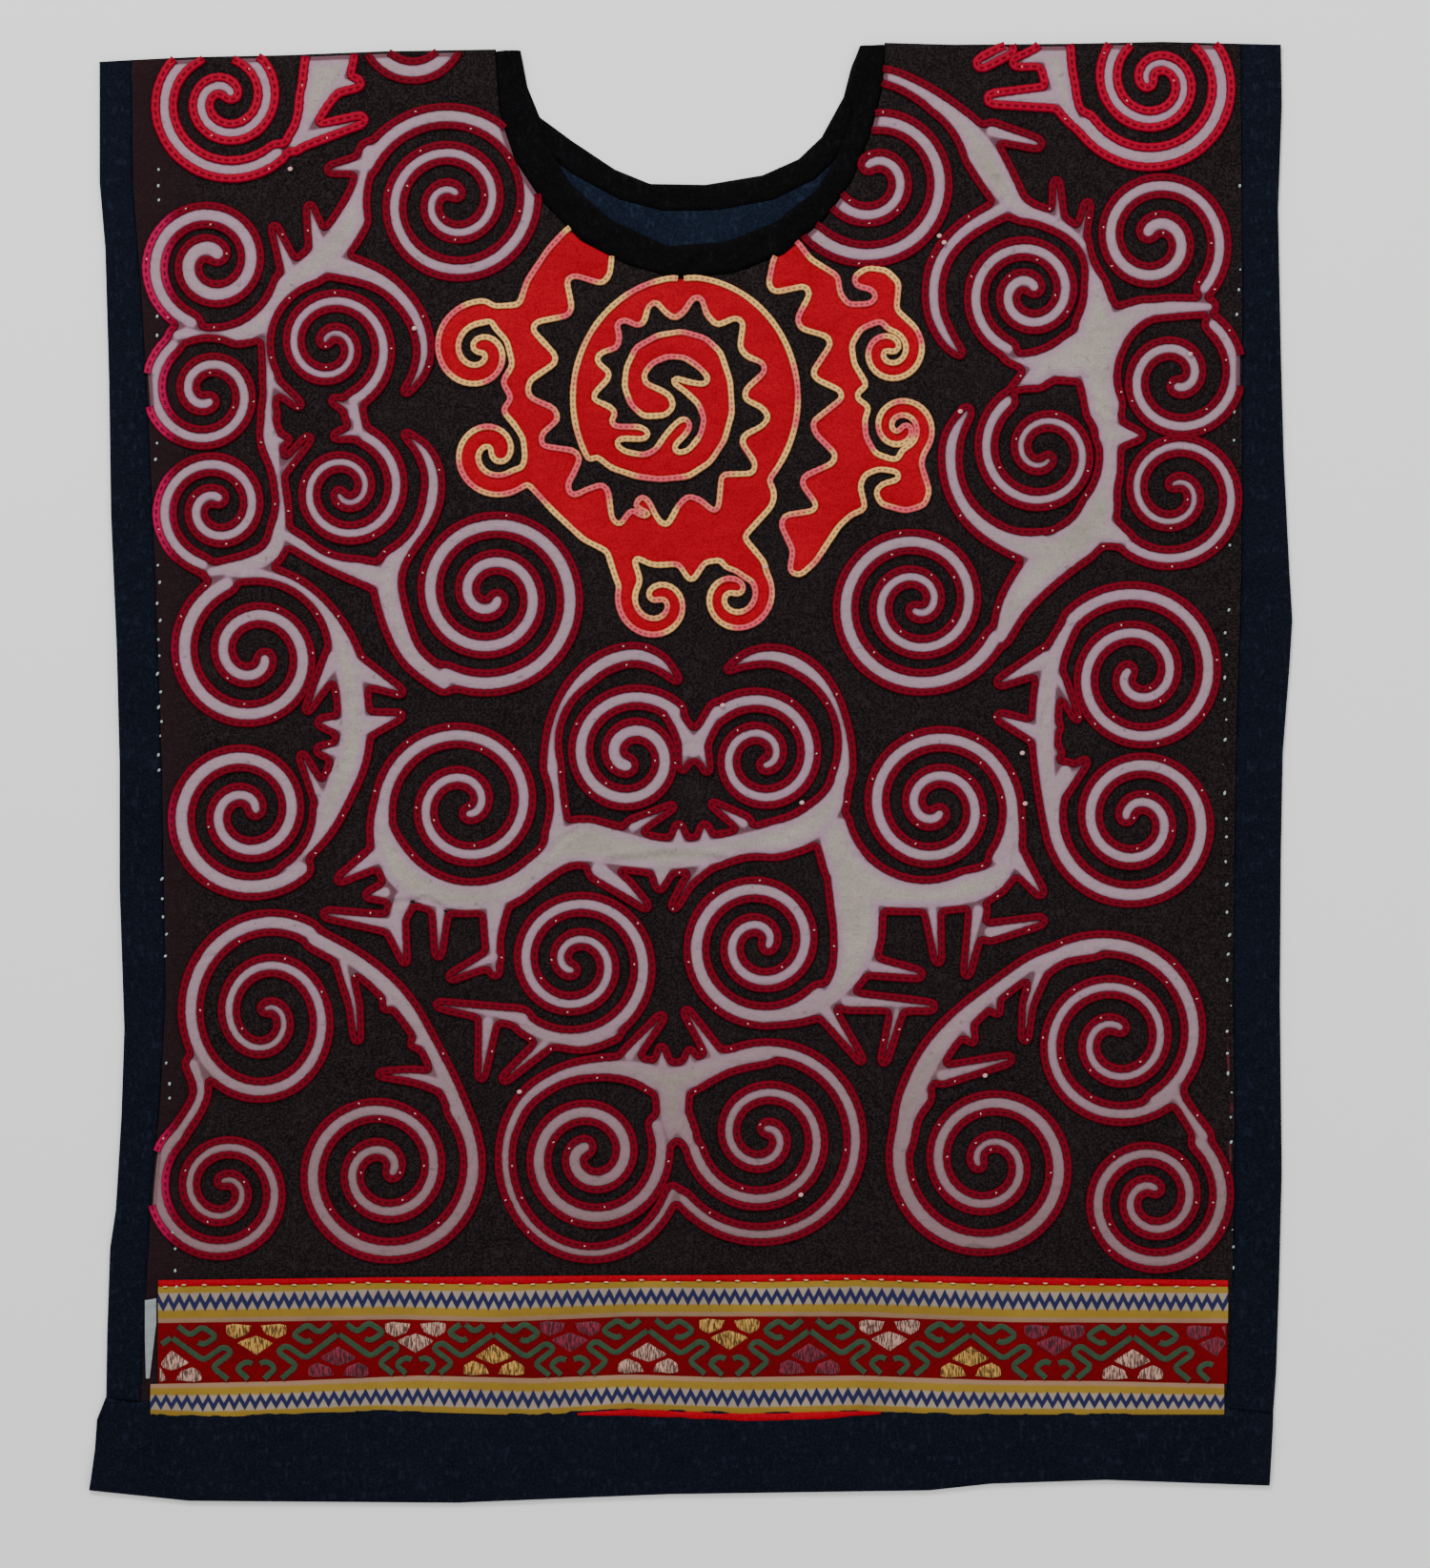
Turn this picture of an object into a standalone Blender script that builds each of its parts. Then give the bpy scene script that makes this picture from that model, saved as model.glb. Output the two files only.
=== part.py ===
# Appliqued cloth tunic laid flat, front up: metres, +Z up, neck towards +Y, underside on Z = 0.

import math

import bmesh
import bpy
import numpy as np
from mathutils import Vector
from mathutils.geometry import delaunay_2d_cdt, tessellate_polygon

# Sizes of the garment
CHART_STEP = 0.00047        # one step of the sewing chart, about one thread of the ground cloth
CENTRE_ACROSS = 724.5       # chart column of the middle of the tunic
CENTRE_DOWN = 811.0         # chart row of the middle of the tunic
CLOTH = 0.0012              # cotton with its seam allowance and lining
FACING_CLOTH = 0.0010
APPLIQUE_CLOTH = 0.0010
RIBBON_CLOTH = 0.0012
SEAM_GAP = 0.0003
BACK_Z = 0.0
FRONT_Z = BACK_Z + CLOTH + SEAM_GAP
APPLIQUE_Z = FRONT_Z + CLOTH + SEAM_GAP
FOLD_ROWS = 4
FIELD_STEP = 1.5            # grid step of the applique drawing, in chart steps
EDGE_TOLERANCE = 1.15       # largest error of a plate's edge, in chart steps
EDGE_SOFTENING = 2          # passes that round the turned-in edges
SMALLEST_PIECE = 260.0      # area of the smallest applique piece kept, in square chart steps
REACH = 14.0                # how far round the cloth the drawing is worked out, in chart steps
ARM_TURN = 9.0              # degrees between two points of a spiral arm
CREAM_BOX = (150, 30, 1300, 1345)   # left, top, right and foot of the two drawings
RED_BOX = (455, 225, 990, 680)
FAR = 1e9
TINY = 1e-9
SEAM_STEPS = 0.7            # seam gap in chart steps, a little over 0.3 mm

# Outlines on the chart: (across, down), left to right or top to bottom
LEFT_EDGE = [(104, 67), (104, 190), (110, 260), (114, 400), (116, 540), (122, 680), (125, 800),
             (125, 930), (130, 1080), (127, 1170), (121, 1270), (115, 1310), (112, 1400), (111, 1465)]
LEFT_STRIP_SEAM = [(138, 65), (140, 200), (148, 300), (156, 440), (163, 600), (170, 800),
                   (174, 1040), (168, 1160), (159, 1250), (153, 1360), (148, 1470)]
RIGHT_EDGE = [(1344, 49), (1345, 110), (1341, 220), (1344, 370), (1347, 480), (1353, 600),
              (1356, 650), (1353, 700), (1346, 790), (1344, 900), (1343, 1050), (1345, 1230),
              (1342, 1350), (1339, 1440), (1336, 1482)]
RIGHT_STRIP_SEAM = [(1301, 48), (1303, 300), (1302, 600), (1296, 800), (1293, 1040),
                    (1295, 1160), (1293, 1330), (1289, 1420), (1286, 1476)]
HEM_EDGE = [(93, 1564), (198, 1575), (480, 1577), (700, 1568), (975, 1564), (1040, 1557),
            (1160, 1553), (1332, 1559)]
HEM_SEAM = [(148, 1470), (400, 1466), (650, 1462), (975, 1466), (1286, 1476)]
HEM_LEFT_END = [(111, 1465), (101, 1490), (99, 1520), (93, 1564)]
HEM_RIGHT_END = [(1336, 1482), (1333, 1500), (1332, 1559)]
HEM_JOIN = 975              # column where the front hem band is pieced
SHOULDER_LEFT = [(138, 65), (200, 62), (300, 60), (400, 56), (520, 54)]
SHOULDER_RIGHT = [(928, 47), (1000, 49), (1120, 48), (1220, 46), (1301, 48)]
FRONT_NECK_SEAM = [(520, 54), (525, 120), (541, 168), (570, 212), (610, 252), (660, 278),
                   (712, 292), (770, 286), (822, 266), (866, 228), (893, 190), (912, 142),
                   (925, 92), (928, 47)]
FRONT_NECK_EDGE = [(546, 53), (554, 100), (572, 150), (598, 192), (640, 230), (700, 258),
                   (760, 254), (812, 234), (858, 198), (880, 160), (896, 118), (889, 92),
                   (896, 66), (902, 48)]
BACK_NECK_EDGE = [(546, 53), (553, 90), (566, 122), (600, 147), (645, 177), (682, 192),
                  (740, 193), (800, 183), (838, 166), (862, 143), (885, 101), (893, 70), (902, 48)]
BACK_NECK_SEAM = [(520, 54), (532, 110), (556, 150), (600, 182), (650, 209), (696, 221),
                  (752, 220), (812, 209), (856, 187), (886, 158), (908, 112), (928, 47)]
FACING_TOP = [(610, 189), (650, 211), (696, 223), (752, 222), (812, 211), (852, 192)]
FACING_FOOT = [(616, 204), (640, 227), (700, 255), (760, 251), (810, 231), (846, 204)]

NECK_TOP = 20               # row above the shoulders where the neck's shape is closed

# Trims across the foot of the front: (across, down) along each line
TRIM_LEFT = 166
TRIM_RIGHT = 1288
RED_EDGE_TOP = [(166, 1343), (400, 1340), (640, 1338), (880, 1337), (1060, 1340), (1288, 1343)]
UPPER_RIBBON_TOP = [(166, 1350), (300, 1348), (400, 1346), (520, 1348), (680, 1344), (800, 1345),
                    (900, 1343), (1060, 1348), (1288, 1350)]
UPPER_RIBBON_FOOT = [(166, 1388), (300, 1386), (420, 1384), (520, 1387), (660, 1381), (900, 1381),
                     (1060, 1387), (1288, 1388)]
LOWER_RIBBON_TOP = [(158, 1452), (300, 1449), (440, 1443), (560, 1446), (660, 1442), (760, 1445),
                    (900, 1443), (1040, 1448), (1160, 1449), (1286, 1452)]
LOWER_RIBBON_FOOT = [(158, 1484), (220, 1487), (400, 1480), (560, 1485), (660, 1478), (780, 1483),
                     (900, 1480), (1000, 1484), (1284, 1484)]
LOWER_RIBBON_ENDS = (158, 1284)
PIPING_ENDS = (606, 924)
PIPING_FOOT = [(598, 1485), (680, 1486), (780, 1491), (860, 1489), (930, 1483)]
TAB_OUTLINE = [(153, 1362), (160, 1360), (164.5, 1362), (164.5, 1388), (157, 1404), (153, 1446),
               (149.5, 1446), (151, 1400)]

# Cream spirals: centre, radius of the arm at its tip and at its end, angle of the tip,
# turn (clockwise is positive), width at the tip and at the end, upright stretch
SPIRAL_COLUMNS = ("across", "down", "r_tip", "r_end", "start", "sweep", "w_tip", "w_end", "stretch")
CREAM_SPIRALS = [
    (236, 105, 10, 78, 310, -625, 17, 19, 1.0),
    (433, 30, 45, 45, 5, 170, 20, 20, 1.0),
    (222, 276, 12, 66, 300, -552, 22, 19, 1.0),
    (475, 212, 10, 97, 290, -803, 15, 20, 1.0),
    (347, 363, 8, 62, 220, 568, 13, 18, 1.0),
    (218, 412, 10, 62, 80, 515, 17, 18, 1.0),
    (362, 514, 8, 60, 140, -570, 13, 18, 1.0),
    (227, 533, 11, 61, 285, -542, 17, 18, 1.0),
    (515, 624, 9, 96, 40, 800, 18, 21, 1.0),
    (266, 687, 13, 80, 20, 590, 18, 21, 1.0),
    (258, 853, 11, 82, 340, -655, 17, 22, 1.0),
    (487, 845, 10, 86, 60, -610, 16, 20, 1.0),
    (604, 1010, 9, 84, 120, 730, 15, 20, 1.0),
    (279, 1067, 8, 92, 270, 750, 13, 21, 1.12),
    (402, 1228, 10, 99, 10, -770, 16, 20, 1.0),
    (235, 1248, 9, 75, 260, 690, 13, 18, 1.0),
    (662, 793, 11, 66, 115, 560, 20, 19, 1.0),
    (798, 794, 10, 64, 60, -555, 15, 19, 1.0),
    (797, 990, 9, 81, 10, -690, 16, 21, 1.0),
    (620, 1212, 11, 76, 235, -620, 19, 19, 1.0),
    (620, 1215, 90, 91, 202, -182, 15, 14, 1.1),
    (801, 1192, 9, 74, 290, 600, 15, 18, 1.0),
    (801, 1192, 88, 107, 245, 258, 19, 16, 1.0),
    (1212, 86, 9, 86, 180, 690, 15, 21, 1.0),
    (1212, 252, 12, 72, 230, 535, 20, 18, 1.0),
    (916, 187, 15, 101, 250, 740, 17, 21, 1.0),
    (1079, 308, 9, 62, 310, -560, 18, 18, 1.0),
    (1233, 396, 10, 68, 80, -495, 17, 18, 1.0),
    (1094, 474, 10, 65, 55, 540, 13, 18, 1.0),
    (1232, 517, 9, 73, 260, 590, 13, 18, 1.0),
    (961, 633, 8, 90, 100, -797, 15, 21, 1.0),
    (1193, 708, 11, 90, 200, -700, 17, 20, 1.0),
    (1192, 861, 12, 91, 205, 730, 17, 21, 1.0),
    (981, 846, 9, 85, 60, 700, 17, 20, 1.0),
    (1170, 1092, 15, 82, 290, -610, 15, 18, 1.0),
    (1165, 1090, 106, 79, 225, 190, 22, 18, 1.0),
    (1037, 1220, 11, 99, 175, 770, 14, 22, 1.0),
    (1208, 1258, 12, 78, 290, -700, 15, 19, 1.0),
]

# Round grounds cut out of the cream bodies: centre and radius
GROUND_DISCS = [
    (236, 105, 78), (222, 276, 68), (475, 212, 90), (350, 361, 66), (219, 412, 57), (373, 515, 71),
    (230, 527, 59), (515, 625, 84), (268, 687, 77), (262, 851, 66), (495, 843, 82), (604, 1008, 80),
    (282, 1067, 84), (660, 780, 74), (797, 780, 82), (795, 978, 79), (622, 1212, 76), (801, 1192, 70),
    (1212, 86, 84), (1207, 250, 64), (930, 187, 84), (1068, 302, 69), (1232, 395, 60), (1083, 478, 70),
    (1233, 520, 61), (965, 630, 80), (1193, 705, 76), (1192, 861, 76), (970, 842, 81), (1170, 1092, 78),
]

# Cream bodies between the spirals: runs of (across, down, half width)
CREAM_BODIES = [
    [(350, 40, 24), (345, 70, 26), (332, 100, 16), (308, 150, 10)],
    [(388, 160, 12), (386, 195, 14), (368, 235, 18), (340, 272, 18), (300, 300, 15), (268, 345, 20),
     (212, 345, 12), (186, 352, 9)],
    [(345, 276, 14), (400, 291, 10), (434, 325, 9), (447, 362, 8), (441, 392, 7), (425, 412, 3)],
    [(286, 330, 14), (284, 395, 8), (281, 440, 7), (284, 462, 13), (293, 500, 5), (296, 540, 9),
     (288, 588, 13), (222, 600, 9)],
    [(392, 392, 11), (366, 425, 7), (374, 450, 9), (400, 465, 9)],
    [(425, 455, 3), (447, 474, 8), (457, 505, 9), (449, 542, 10), (418, 578, 12), (404, 608, 15),
     (414, 650, 14), (430, 690, 12), (466, 716, 11)],
    [(300, 562, 9), (345, 589, 9), (400, 606, 15)],
    [(240, 598, 11), (300, 607, 9), (340, 640, 11), (364, 692, 18), (372, 745, 16), (370, 790, 19),
     (350, 838, 17), (334, 872, 14), (302, 908, 10)],
    [(412, 812, 8), (398, 845, 8), (402, 885, 16), (430, 930, 24), (520, 942, 20), (575, 905, 13),
     (600, 880, 26), (650, 890, 22), (702, 900, 18), (770, 890, 16), (850, 872, 22), (884, 830, 12),
     (884, 790, 9)],
    [(882, 880, 26), (896, 925, 28), (960, 938, 20), (1030, 932, 20), (1063, 905, 11), (1062, 850, 10)],
    [(896, 925, 28), (902, 990, 26), (884, 1035, 14), (850, 1062, 11), (800, 1068, 9)],
    [(586, 890, 14), (577, 800, 9), (588, 745, 10), (618, 702, 10), (660, 684, 10), (692, 693, 9),
     (711, 714, 3)],
    [(755, 714, 3), (785, 688, 8), (826, 688, 10), (866, 718, 10), (886, 780, 10), (882, 830, 12)],
    [(705, 765, 10), (726, 788, 10), (750, 768, 9)],
    [(520, 950, 14), (516, 985, 8), (520, 1018, 7)],
    [(545, 1062, 9), (575, 1085, 9), (610, 1096, 9), (645, 1084, 7)],
    [(535, 1184, 8), (545, 1160, 8), (565, 1140, 9), (600, 1122, 9), (660, 1118, 12), (705, 1138, 19), (760, 1112, 12), (805, 1106, 10)],
    [(705, 1138, 19), (706, 1178, 16), (690, 1206, 6)],
    [(712, 1176, 14), (730, 1206, 7)],
    [(1105, 40, 18), (1108, 75, 16), (1120, 112, 13), (1145, 138, 9)],
    [(924, 79, 8), (948, 86, 8), (985, 108, 10), (1024, 150, 20), (1050, 195, 18), (1068, 222, 12), (1110, 232, 9),
     (1144, 262, 7), (1150, 305, 12), (1153, 360, 32), (1158, 430, 18), (1160, 500, 16),
     (1148, 556, 22), (1104, 584, 24), (1064, 630, 17), (1050, 668, 10)],
    [(1060, 214, 10), (1008, 242, 9), (981, 278, 9), (978, 325, 9), (994, 358, 8), (1007, 371, 4)],
    [(1060, 372, 9), (1098, 382, 16), (1140, 372, 30), (1190, 325, 12), (1240, 322, 10), (1268, 322, 8)],
    [(1098, 385, 16), (1070, 410, 10), (1046, 440, 9)],
    [(1014, 432, 6), (996, 462, 10), (998, 508, 9), (1020, 546, 10), (1062, 572, 12), (1110, 578, 22)],
    [(1148, 552, 22), (1180, 566, 9)],
    [(1128, 645, 8), (1106, 684, 11), (1098, 720, 14), (1095, 775, 14), (1100, 830, 12), (1104, 862, 10)],
    [(1150, 995, 9), (1095, 1003, 10), (1048, 1036, 10), (1002, 1075, 13), (974, 1112, 15),
     (952, 1160, 14), (947, 1200, 11)],
    [(1228, 1140, 9), (1240, 1160, 7), (1262, 1192, 9)],
    [(330, 985, 11), (378, 1010, 11), (420, 1048, 12), (448, 1092, 9), (470, 1138, 11),
     (490, 1185, 10)],
    [(470, 1140, 9), (440, 1128, 8), (398, 1127, 3)],
    [(203, 1116, 9), (213, 1142, 8), (206, 1162, 8), (188, 1188, 8)],
]

# Links that join the arms across the ground: runs of (across, down, half width)
CREAM_LINKS = [
    [(702, 741, 9), (714, 762, 9), (727, 786, 13), (741, 764, 9), (752, 745, 9)],
    [(720, 784, 9), (716, 806, 4)],
    [(734, 784, 9), (742, 808, 4)],
    [(372, 426, 8), (376, 452, 9)],
    [(422, 944, 13), (413, 970, 10)],
    [(628, 912, 12), (655, 931, 9), (678, 951, 4)],
    [(742, 905, 8), (722, 925, 5), (707, 951, 4)],
]

# Prongs like small flames on the bodies: root, half width, tip, half width
CREAM_PRONGS = [
    (340, 86, 15, 375, 88, 5), (312, 146, 10, 379, 126, 5), (386, 172, 11, 347, 178, 5),
    (336, 262, 12, 325, 217, 4), (305, 285, 10, 288, 239, 4), (286, 402, 7, 314, 425, 4),
    (280, 432, 7, 290, 434, 3), (292, 462, 8, 303, 462, 3), (297, 492, 6, 324, 460, 4),
    (368, 428, 7, 350, 420, 4), (374, 453, 8, 352, 458, 4), (352, 690, 12, 322, 746, 3),
    (368, 700, 16, 421, 726, 4), (376, 762, 16, 420, 751, 4), (368, 762, 14, 337, 758, 5),
    (368, 790, 14, 336, 787, 5), (338, 838, 9, 317, 793, 4), (402, 895, 13, 356, 923, 4),
    (404, 936, 10, 386, 939, 4), (415, 970, 10, 343, 959, 5), (414, 968, 12, 425, 1010, 3),
    (462, 955, 9, 460, 1002, 4), (518, 1004, 9, 473, 1025, 4), (548, 1068, 10, 460, 1054, 4),
    (512, 1072, 10, 505, 1130, 4), (572, 1094, 8, 529, 1132, 4), (660, 1108, 9, 694, 1067, 4),
    (752, 1110, 9, 720, 1061, 4), (664, 868, 9, 706, 846, 3), (780, 864, 9, 747, 843, 3),
    (712, 888, 12, 712, 868, 5), (740, 888, 12, 739, 868, 5),
    (695, 905, 16, 692, 930, 5), (695, 1120, 10, 694, 1100, 4),
    (724, 1122, 10, 724, 1103, 4), (978, 955, 9, 984, 1008, 4), (1026, 955, 10, 1014, 1022, 4),
    (1038, 978, 10, 1092, 966, 5), (1064, 900, 12, 1091, 936, 5), (916, 1014, 10, 964, 1022, 5),
    (888, 1050, 10, 977, 1056, 5), (941, 1060, 7, 927, 1113, 4), (866, 1060, 10, 904, 1113, 3),
    (1058, 52, 6, 1029, 67, 6), (1100, 58, 12, 1066, 66, 5), (1106, 102, 12, 1041, 104, 6),
    (1040, 138, 10, 1088, 151, 6), (1110, 232, 7, 1108, 191, 4), (1134, 246, 6, 1141, 214, 4),
    (1166, 456, 18, 1195, 457, 5), (1098, 692, 13, 1049, 716, 5), (1096, 772, 13, 1049, 752, 5),
    (1110, 712, 8, 1130, 755, 3), (1098, 763, 10, 1109, 763, 5), (1098, 790, 10, 1110, 790, 5),
    (1112, 828, 10, 1138, 799, 4), (1094, 1010, 9, 1078, 1054, 6), (1078, 1054, 6, 1075, 1090, 4),
    (1040, 1042, 9, 1046, 1062, 4), (1010, 1072, 11, 1020, 1092, 4), (988, 1128, 10, 1058, 1111, 5),
    (360, 1010, 8, 372, 1055, 6), (372, 1055, 6, 375, 1090, 4), (410, 1050, 10, 404, 1058, 3),
    (442, 1092, 10, 432, 1096, 3), (1155, 432, 16, 1170, 425, 8),
]

# Red medallion: spirals in the same columns as the cream ones
RED_SPIRALS = [
    (503, 369, 6, 42, 270, 365, 15, 23, 1.0),
    (517, 475, 8, 38, 0, -315, 20, 20, 1.0),
    (690, 632, 9, 36, 250, 330, 14, 18, 1.0),
    (770, 626, 10, 38, 290, -385, 14, 18, 1.0),
    (933, 369, 7, 31, 300, -385, 14, 17, 1.0),
    (944, 449, 7, 30, 20, 415, 12, 16, 1.0),
]
OVAL_COLUMNS = ("across", "down", "half_width", "half_height")
EGG = (719, 418, 118, 127)          # the egg-shaped ring
LOWER_BODY = [(618, 520, 8), (640, 560, 14), (690, 566, 27), (745, 562, 27), (790, 520, 22)]
LOWER_ARMS = [
    [(650, 580, 12), (658, 605, 12)],
    [(762, 570, 18), (790, 596, 13)],
    [(725, 578, 22), (725, 604, 5)],
]
# Black channel round and inside the red disc: corners along its edge, (across, down)
SUN_CHANNEL = [
    (612, 492), (625, 478), (641, 491), (668, 500), (692, 503), (722, 500), (745, 485), (760, 462),
    (768, 433), (766, 400), (756, 370), (740, 355), (715, 348), (690, 352), (667, 365), (657, 386),
    (655, 406), (662, 425), (675, 437), (698, 436), (707, 427), (703, 415), (690, 408), (677, 403),
    (675, 393), (684, 381), (700, 374), (718, 375), (733, 385), (744, 397), (740, 404), (722, 401),
    (706, 396), (705, 401), (719, 411), (733, 424), (739, 440), (735, 457), (722, 473), (710, 476),
    (706, 469), (720, 455), (725, 445), (718, 438), (708, 445), (697, 458), (688, 472), (676, 478),
    (655, 474), (645, 466), (650, 460), (677, 461), (682, 454), (672, 448), (645, 448), (640, 442),
    (647, 434), (640, 427), (621, 419), (625, 411), (638, 398), (640, 391), (628, 382), (625, 375),
    (633, 369), (648, 365), (650, 352), (646, 340), (655, 335), (670, 343), (676, 338), (680, 321),
    (688, 316), (698, 328), (708, 335), (718, 327), (727, 312), (736, 312), (741, 330), (752, 342),
    (772, 333), (780, 338), (776, 365), (783, 374), (801, 381), (803, 390), (782, 409), (781, 419),
    (800, 428), (807, 438), (800, 447), (780, 457), (778, 465), (793, 487), (790, 497), (757, 498),
    (754, 532), (750, 538), (735, 525), (722, 520), (712, 530), (700, 552), (692, 548), (680, 525),
    (673, 520), (662, 535), (650, 552), (642, 545), (638, 515), (632, 507), (600, 520), (596, 505),
]
# Toothed pieces beside the disc: corners along their edges, (across, down)
LEFT_WING = [
    (643, 255), (640, 288), (632, 298), (603, 289), (594, 293), (600, 322), (597, 331), (562, 338),
    (558, 346), (583, 373), (583, 381), (556, 399), (553, 411), (557, 418), (582, 429), (586, 440),
    (568, 456), (568, 468), (603, 473), (609, 481), (595, 512), (600, 521), (631, 508), (655, 530),
    (650, 585), (612, 566), (580, 536), (558, 512), (546, 499), (551, 480), (549, 460), (540, 446),
    (527, 431), (537, 418), (527, 401), (538, 383), (532, 358), (518, 343), (512, 322), (545, 320),
    (553, 295), (575, 262), (600, 235),
]
RIGHT_WING = [
    (816, 250), (806, 299), (812, 307), (845, 300), (850, 308), (836, 335), (840, 345), (868, 353),
    (872, 361), (852, 391), (856, 398), (882, 410), (884, 418), (852, 443), (855, 455), (877, 477),
    (874, 486), (843, 500), (841, 508), (857, 530), (854, 536), (823, 541), (819, 551), (832, 578),
    (828, 600), (839, 604), (855, 590), (880, 552), (893, 540), (908, 534), (902, 510), (907, 498),
    (922, 492), (942, 495), (944, 503), (925, 508), (918, 516), (924, 529), (950, 536), (970, 530),
    (975, 515), (966, 487), (970, 472), (955, 477), (938, 483), (918, 476), (908, 458), (907, 440),
    (912, 427), (898, 418), (900, 411), (910, 405), (896, 382), (893, 362), (903, 345), (922, 337),
    (952, 345), (954, 338), (940, 325), (943, 297), (930, 284), (910, 281), (896, 290), (897, 300),
    (915, 304), (920, 312), (913, 319), (890, 320), (881, 308), (879, 290), (850, 272), (832, 248),
]


def place(across, down, z):
    """Chart place to metres."""
    return Vector(((across - CENTRE_ACROSS) * CHART_STEP, (CENTRE_DOWN - down) * CHART_STEP, z))


# Drawing the applique as a field: below zero inside the cloth, above zero outside

def new_field(box):
    left, top, right, foot = box
    columns = np.arange(left, right + FIELD_STEP, FIELD_STEP)
    rows = np.arange(top, foot + FIELD_STEP, FIELD_STEP)
    return {"x": columns, "y": rows, "d": np.full((len(rows), len(columns)), REACH)}


def window(field, x0, y0, x1, y1):
    """Rows and columns of the field that lie in a box."""
    c0, c1 = np.searchsorted(field["x"], (x0, x1))
    r0, r1 = np.searchsorted(field["y"], (y0, y1))
    return slice(r0, r1), slice(c0, c1)


def add_stroke(field, p, q):
    """Join a round-ended stroke with a width at each end to the cloth."""
    reach = max(p[2], q[2]) + REACH
    rows, columns = window(field, min(p[0], q[0]) - reach, min(p[1], q[1]) - reach,
                           max(p[0], q[0]) + reach, max(p[1], q[1]) + reach)
    x, y = np.meshgrid(field["x"][columns], field["y"][rows])
    dx, dy = q[0] - p[0], q[1] - p[1]
    share = ((x - p[0]) * dx + (y - p[1]) * dy) / max(dx * dx + dy * dy, TINY)
    share = np.clip(share, 0.0, 1.0)
    gap = np.hypot(x - p[0] - share * dx, y - p[1] - share * dy) - (p[2] + share * (q[2] - p[2]))
    field["d"][rows, columns] = np.minimum(field["d"][rows, columns], gap)


def add_run(field, run):
    for p, q in zip(run[:-1], run[1:]):
        add_stroke(field, p, q)


def spiral_run(row):
    """Points of a spiral arm, each with its half width."""
    s = dict(zip(SPIRAL_COLUMNS, row))
    steps = max(6, int(abs(s["sweep"]) / ARM_TURN))
    run = []
    for i in range(steps + 1):
        t = i / steps
        angle = math.radians(s["start"] + s["sweep"] * t)
        radius = s["r_tip"] + (s["r_end"] - s["r_tip"]) * t
        half = 0.5 * (s["w_tip"] + (s["w_end"] - s["w_tip"]) * t)
        run.append((s["across"] + radius * math.cos(angle),
                    s["down"] + radius * math.sin(angle) * s["stretch"], half))
    return run


def cut_disc(field, across, down, radius):
    x, y = np.meshgrid(field["x"], field["y"])
    field["d"] = np.maximum(field["d"], radius - np.hypot(x - across, y - down))


def add_oval(field, row):
    """Join an oval to the cloth; its distance is near enough for a cloth edge."""
    egg = dict(zip(OVAL_COLUMNS, row))
    x, y = np.meshgrid(field["x"], field["y"])
    u = (x - egg["across"]) / egg["half_width"]
    v = (y - egg["down"]) / egg["half_height"]
    gap = (np.hypot(u, v) - 1.0) * min(egg["half_width"], egg["half_height"])
    field["d"] = np.minimum(field["d"], gap)


def outline_gap(field, loop):
    """Distance to a closed outline, below zero inside it."""
    x, y = np.meshgrid(field["x"], field["y"])
    nearest = np.full(x.shape, FAR)
    inside = np.zeros(x.shape, bool)
    for (x0, y0), (x1, y1) in zip(loop, loop[1:] + loop[:1]):
        dx, dy = x1 - x0, y1 - y0
        share = np.clip(((x - x0) * dx + (y - y0) * dy) / max(dx * dx + dy * dy, TINY), 0, 1)
        nearest = np.minimum(nearest, np.hypot(x - x0 - share * dx, y - y0 - share * dy))
        if y0 != y1:
            inside ^= ((y0 > y) != (y1 > y)) & (x < dx * (y - y0) / dy + x0)
    return np.where(inside, -nearest, nearest)


def soften(field, passes):
    """Round the corners, as a turned-in edge does."""
    for _ in range(passes):
        d = np.pad(field["d"], 1, mode="edge")
        field["d"] = (d[1:-1, 1:-1] * 2 + d[:-2, 1:-1] + d[2:, 1:-1] + d[1:-1, :-2] + d[1:-1, 2:]) / 6


def cream_field():
    field = new_field(CREAM_BOX)
    for body in CREAM_BODIES:
        add_run(field, body)
    for disc in GROUND_DISCS:
        cut_disc(field, *disc)
    for row in CREAM_SPIRALS:
        add_run(field, spiral_run(row))
    for link in CREAM_LINKS:
        add_run(field, link)
    for prong in CREAM_PRONGS:
        add_stroke(field, prong[:3], prong[3:])
    soften(field, EDGE_SOFTENING)
    return field


def red_field():
    field = new_field(RED_BOX)
    add_oval(field, EGG)
    add_run(field, LOWER_BODY)
    for arm in LOWER_ARMS:
        add_run(field, arm)
    for wing in (LEFT_WING, RIGHT_WING):
        field["d"] = np.minimum(field["d"], outline_gap(field, wing))
    for row in RED_SPIRALS:
        add_run(field, spiral_run(row))
    field["d"] = np.maximum(field["d"], -outline_gap(field, SUN_CHANNEL))
    soften(field, EDGE_SOFTENING)
    return field


def keep_inside(field, edges):
    """Trim the drawing to the panel: each edge is (points, side, inset)."""
    x, y = np.meshgrid(field["x"], field["y"])
    for points, side, inset in edges:
        across = np.array([p[0] for p in points], float)
        down = np.array([p[1] for p in points], float)
        if side in ("left", "right"):
            line = np.interp(y, down, across)
            gap = (line + inset - x) if side == "left" else (x - line + inset)
        else:
            line = np.interp(x, across, down)
            gap = (line + inset - y) if side == "top" else (y - line + inset)
        field["d"] = np.maximum(field["d"], gap)


def keep_outside(field, loop, inset):
    """Trim the drawing away from a closed outline, such as the neck."""
    field["d"] = np.maximum(field["d"], inset - outline_gap(field, loop))


# Outlines of the drawn pieces

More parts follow.
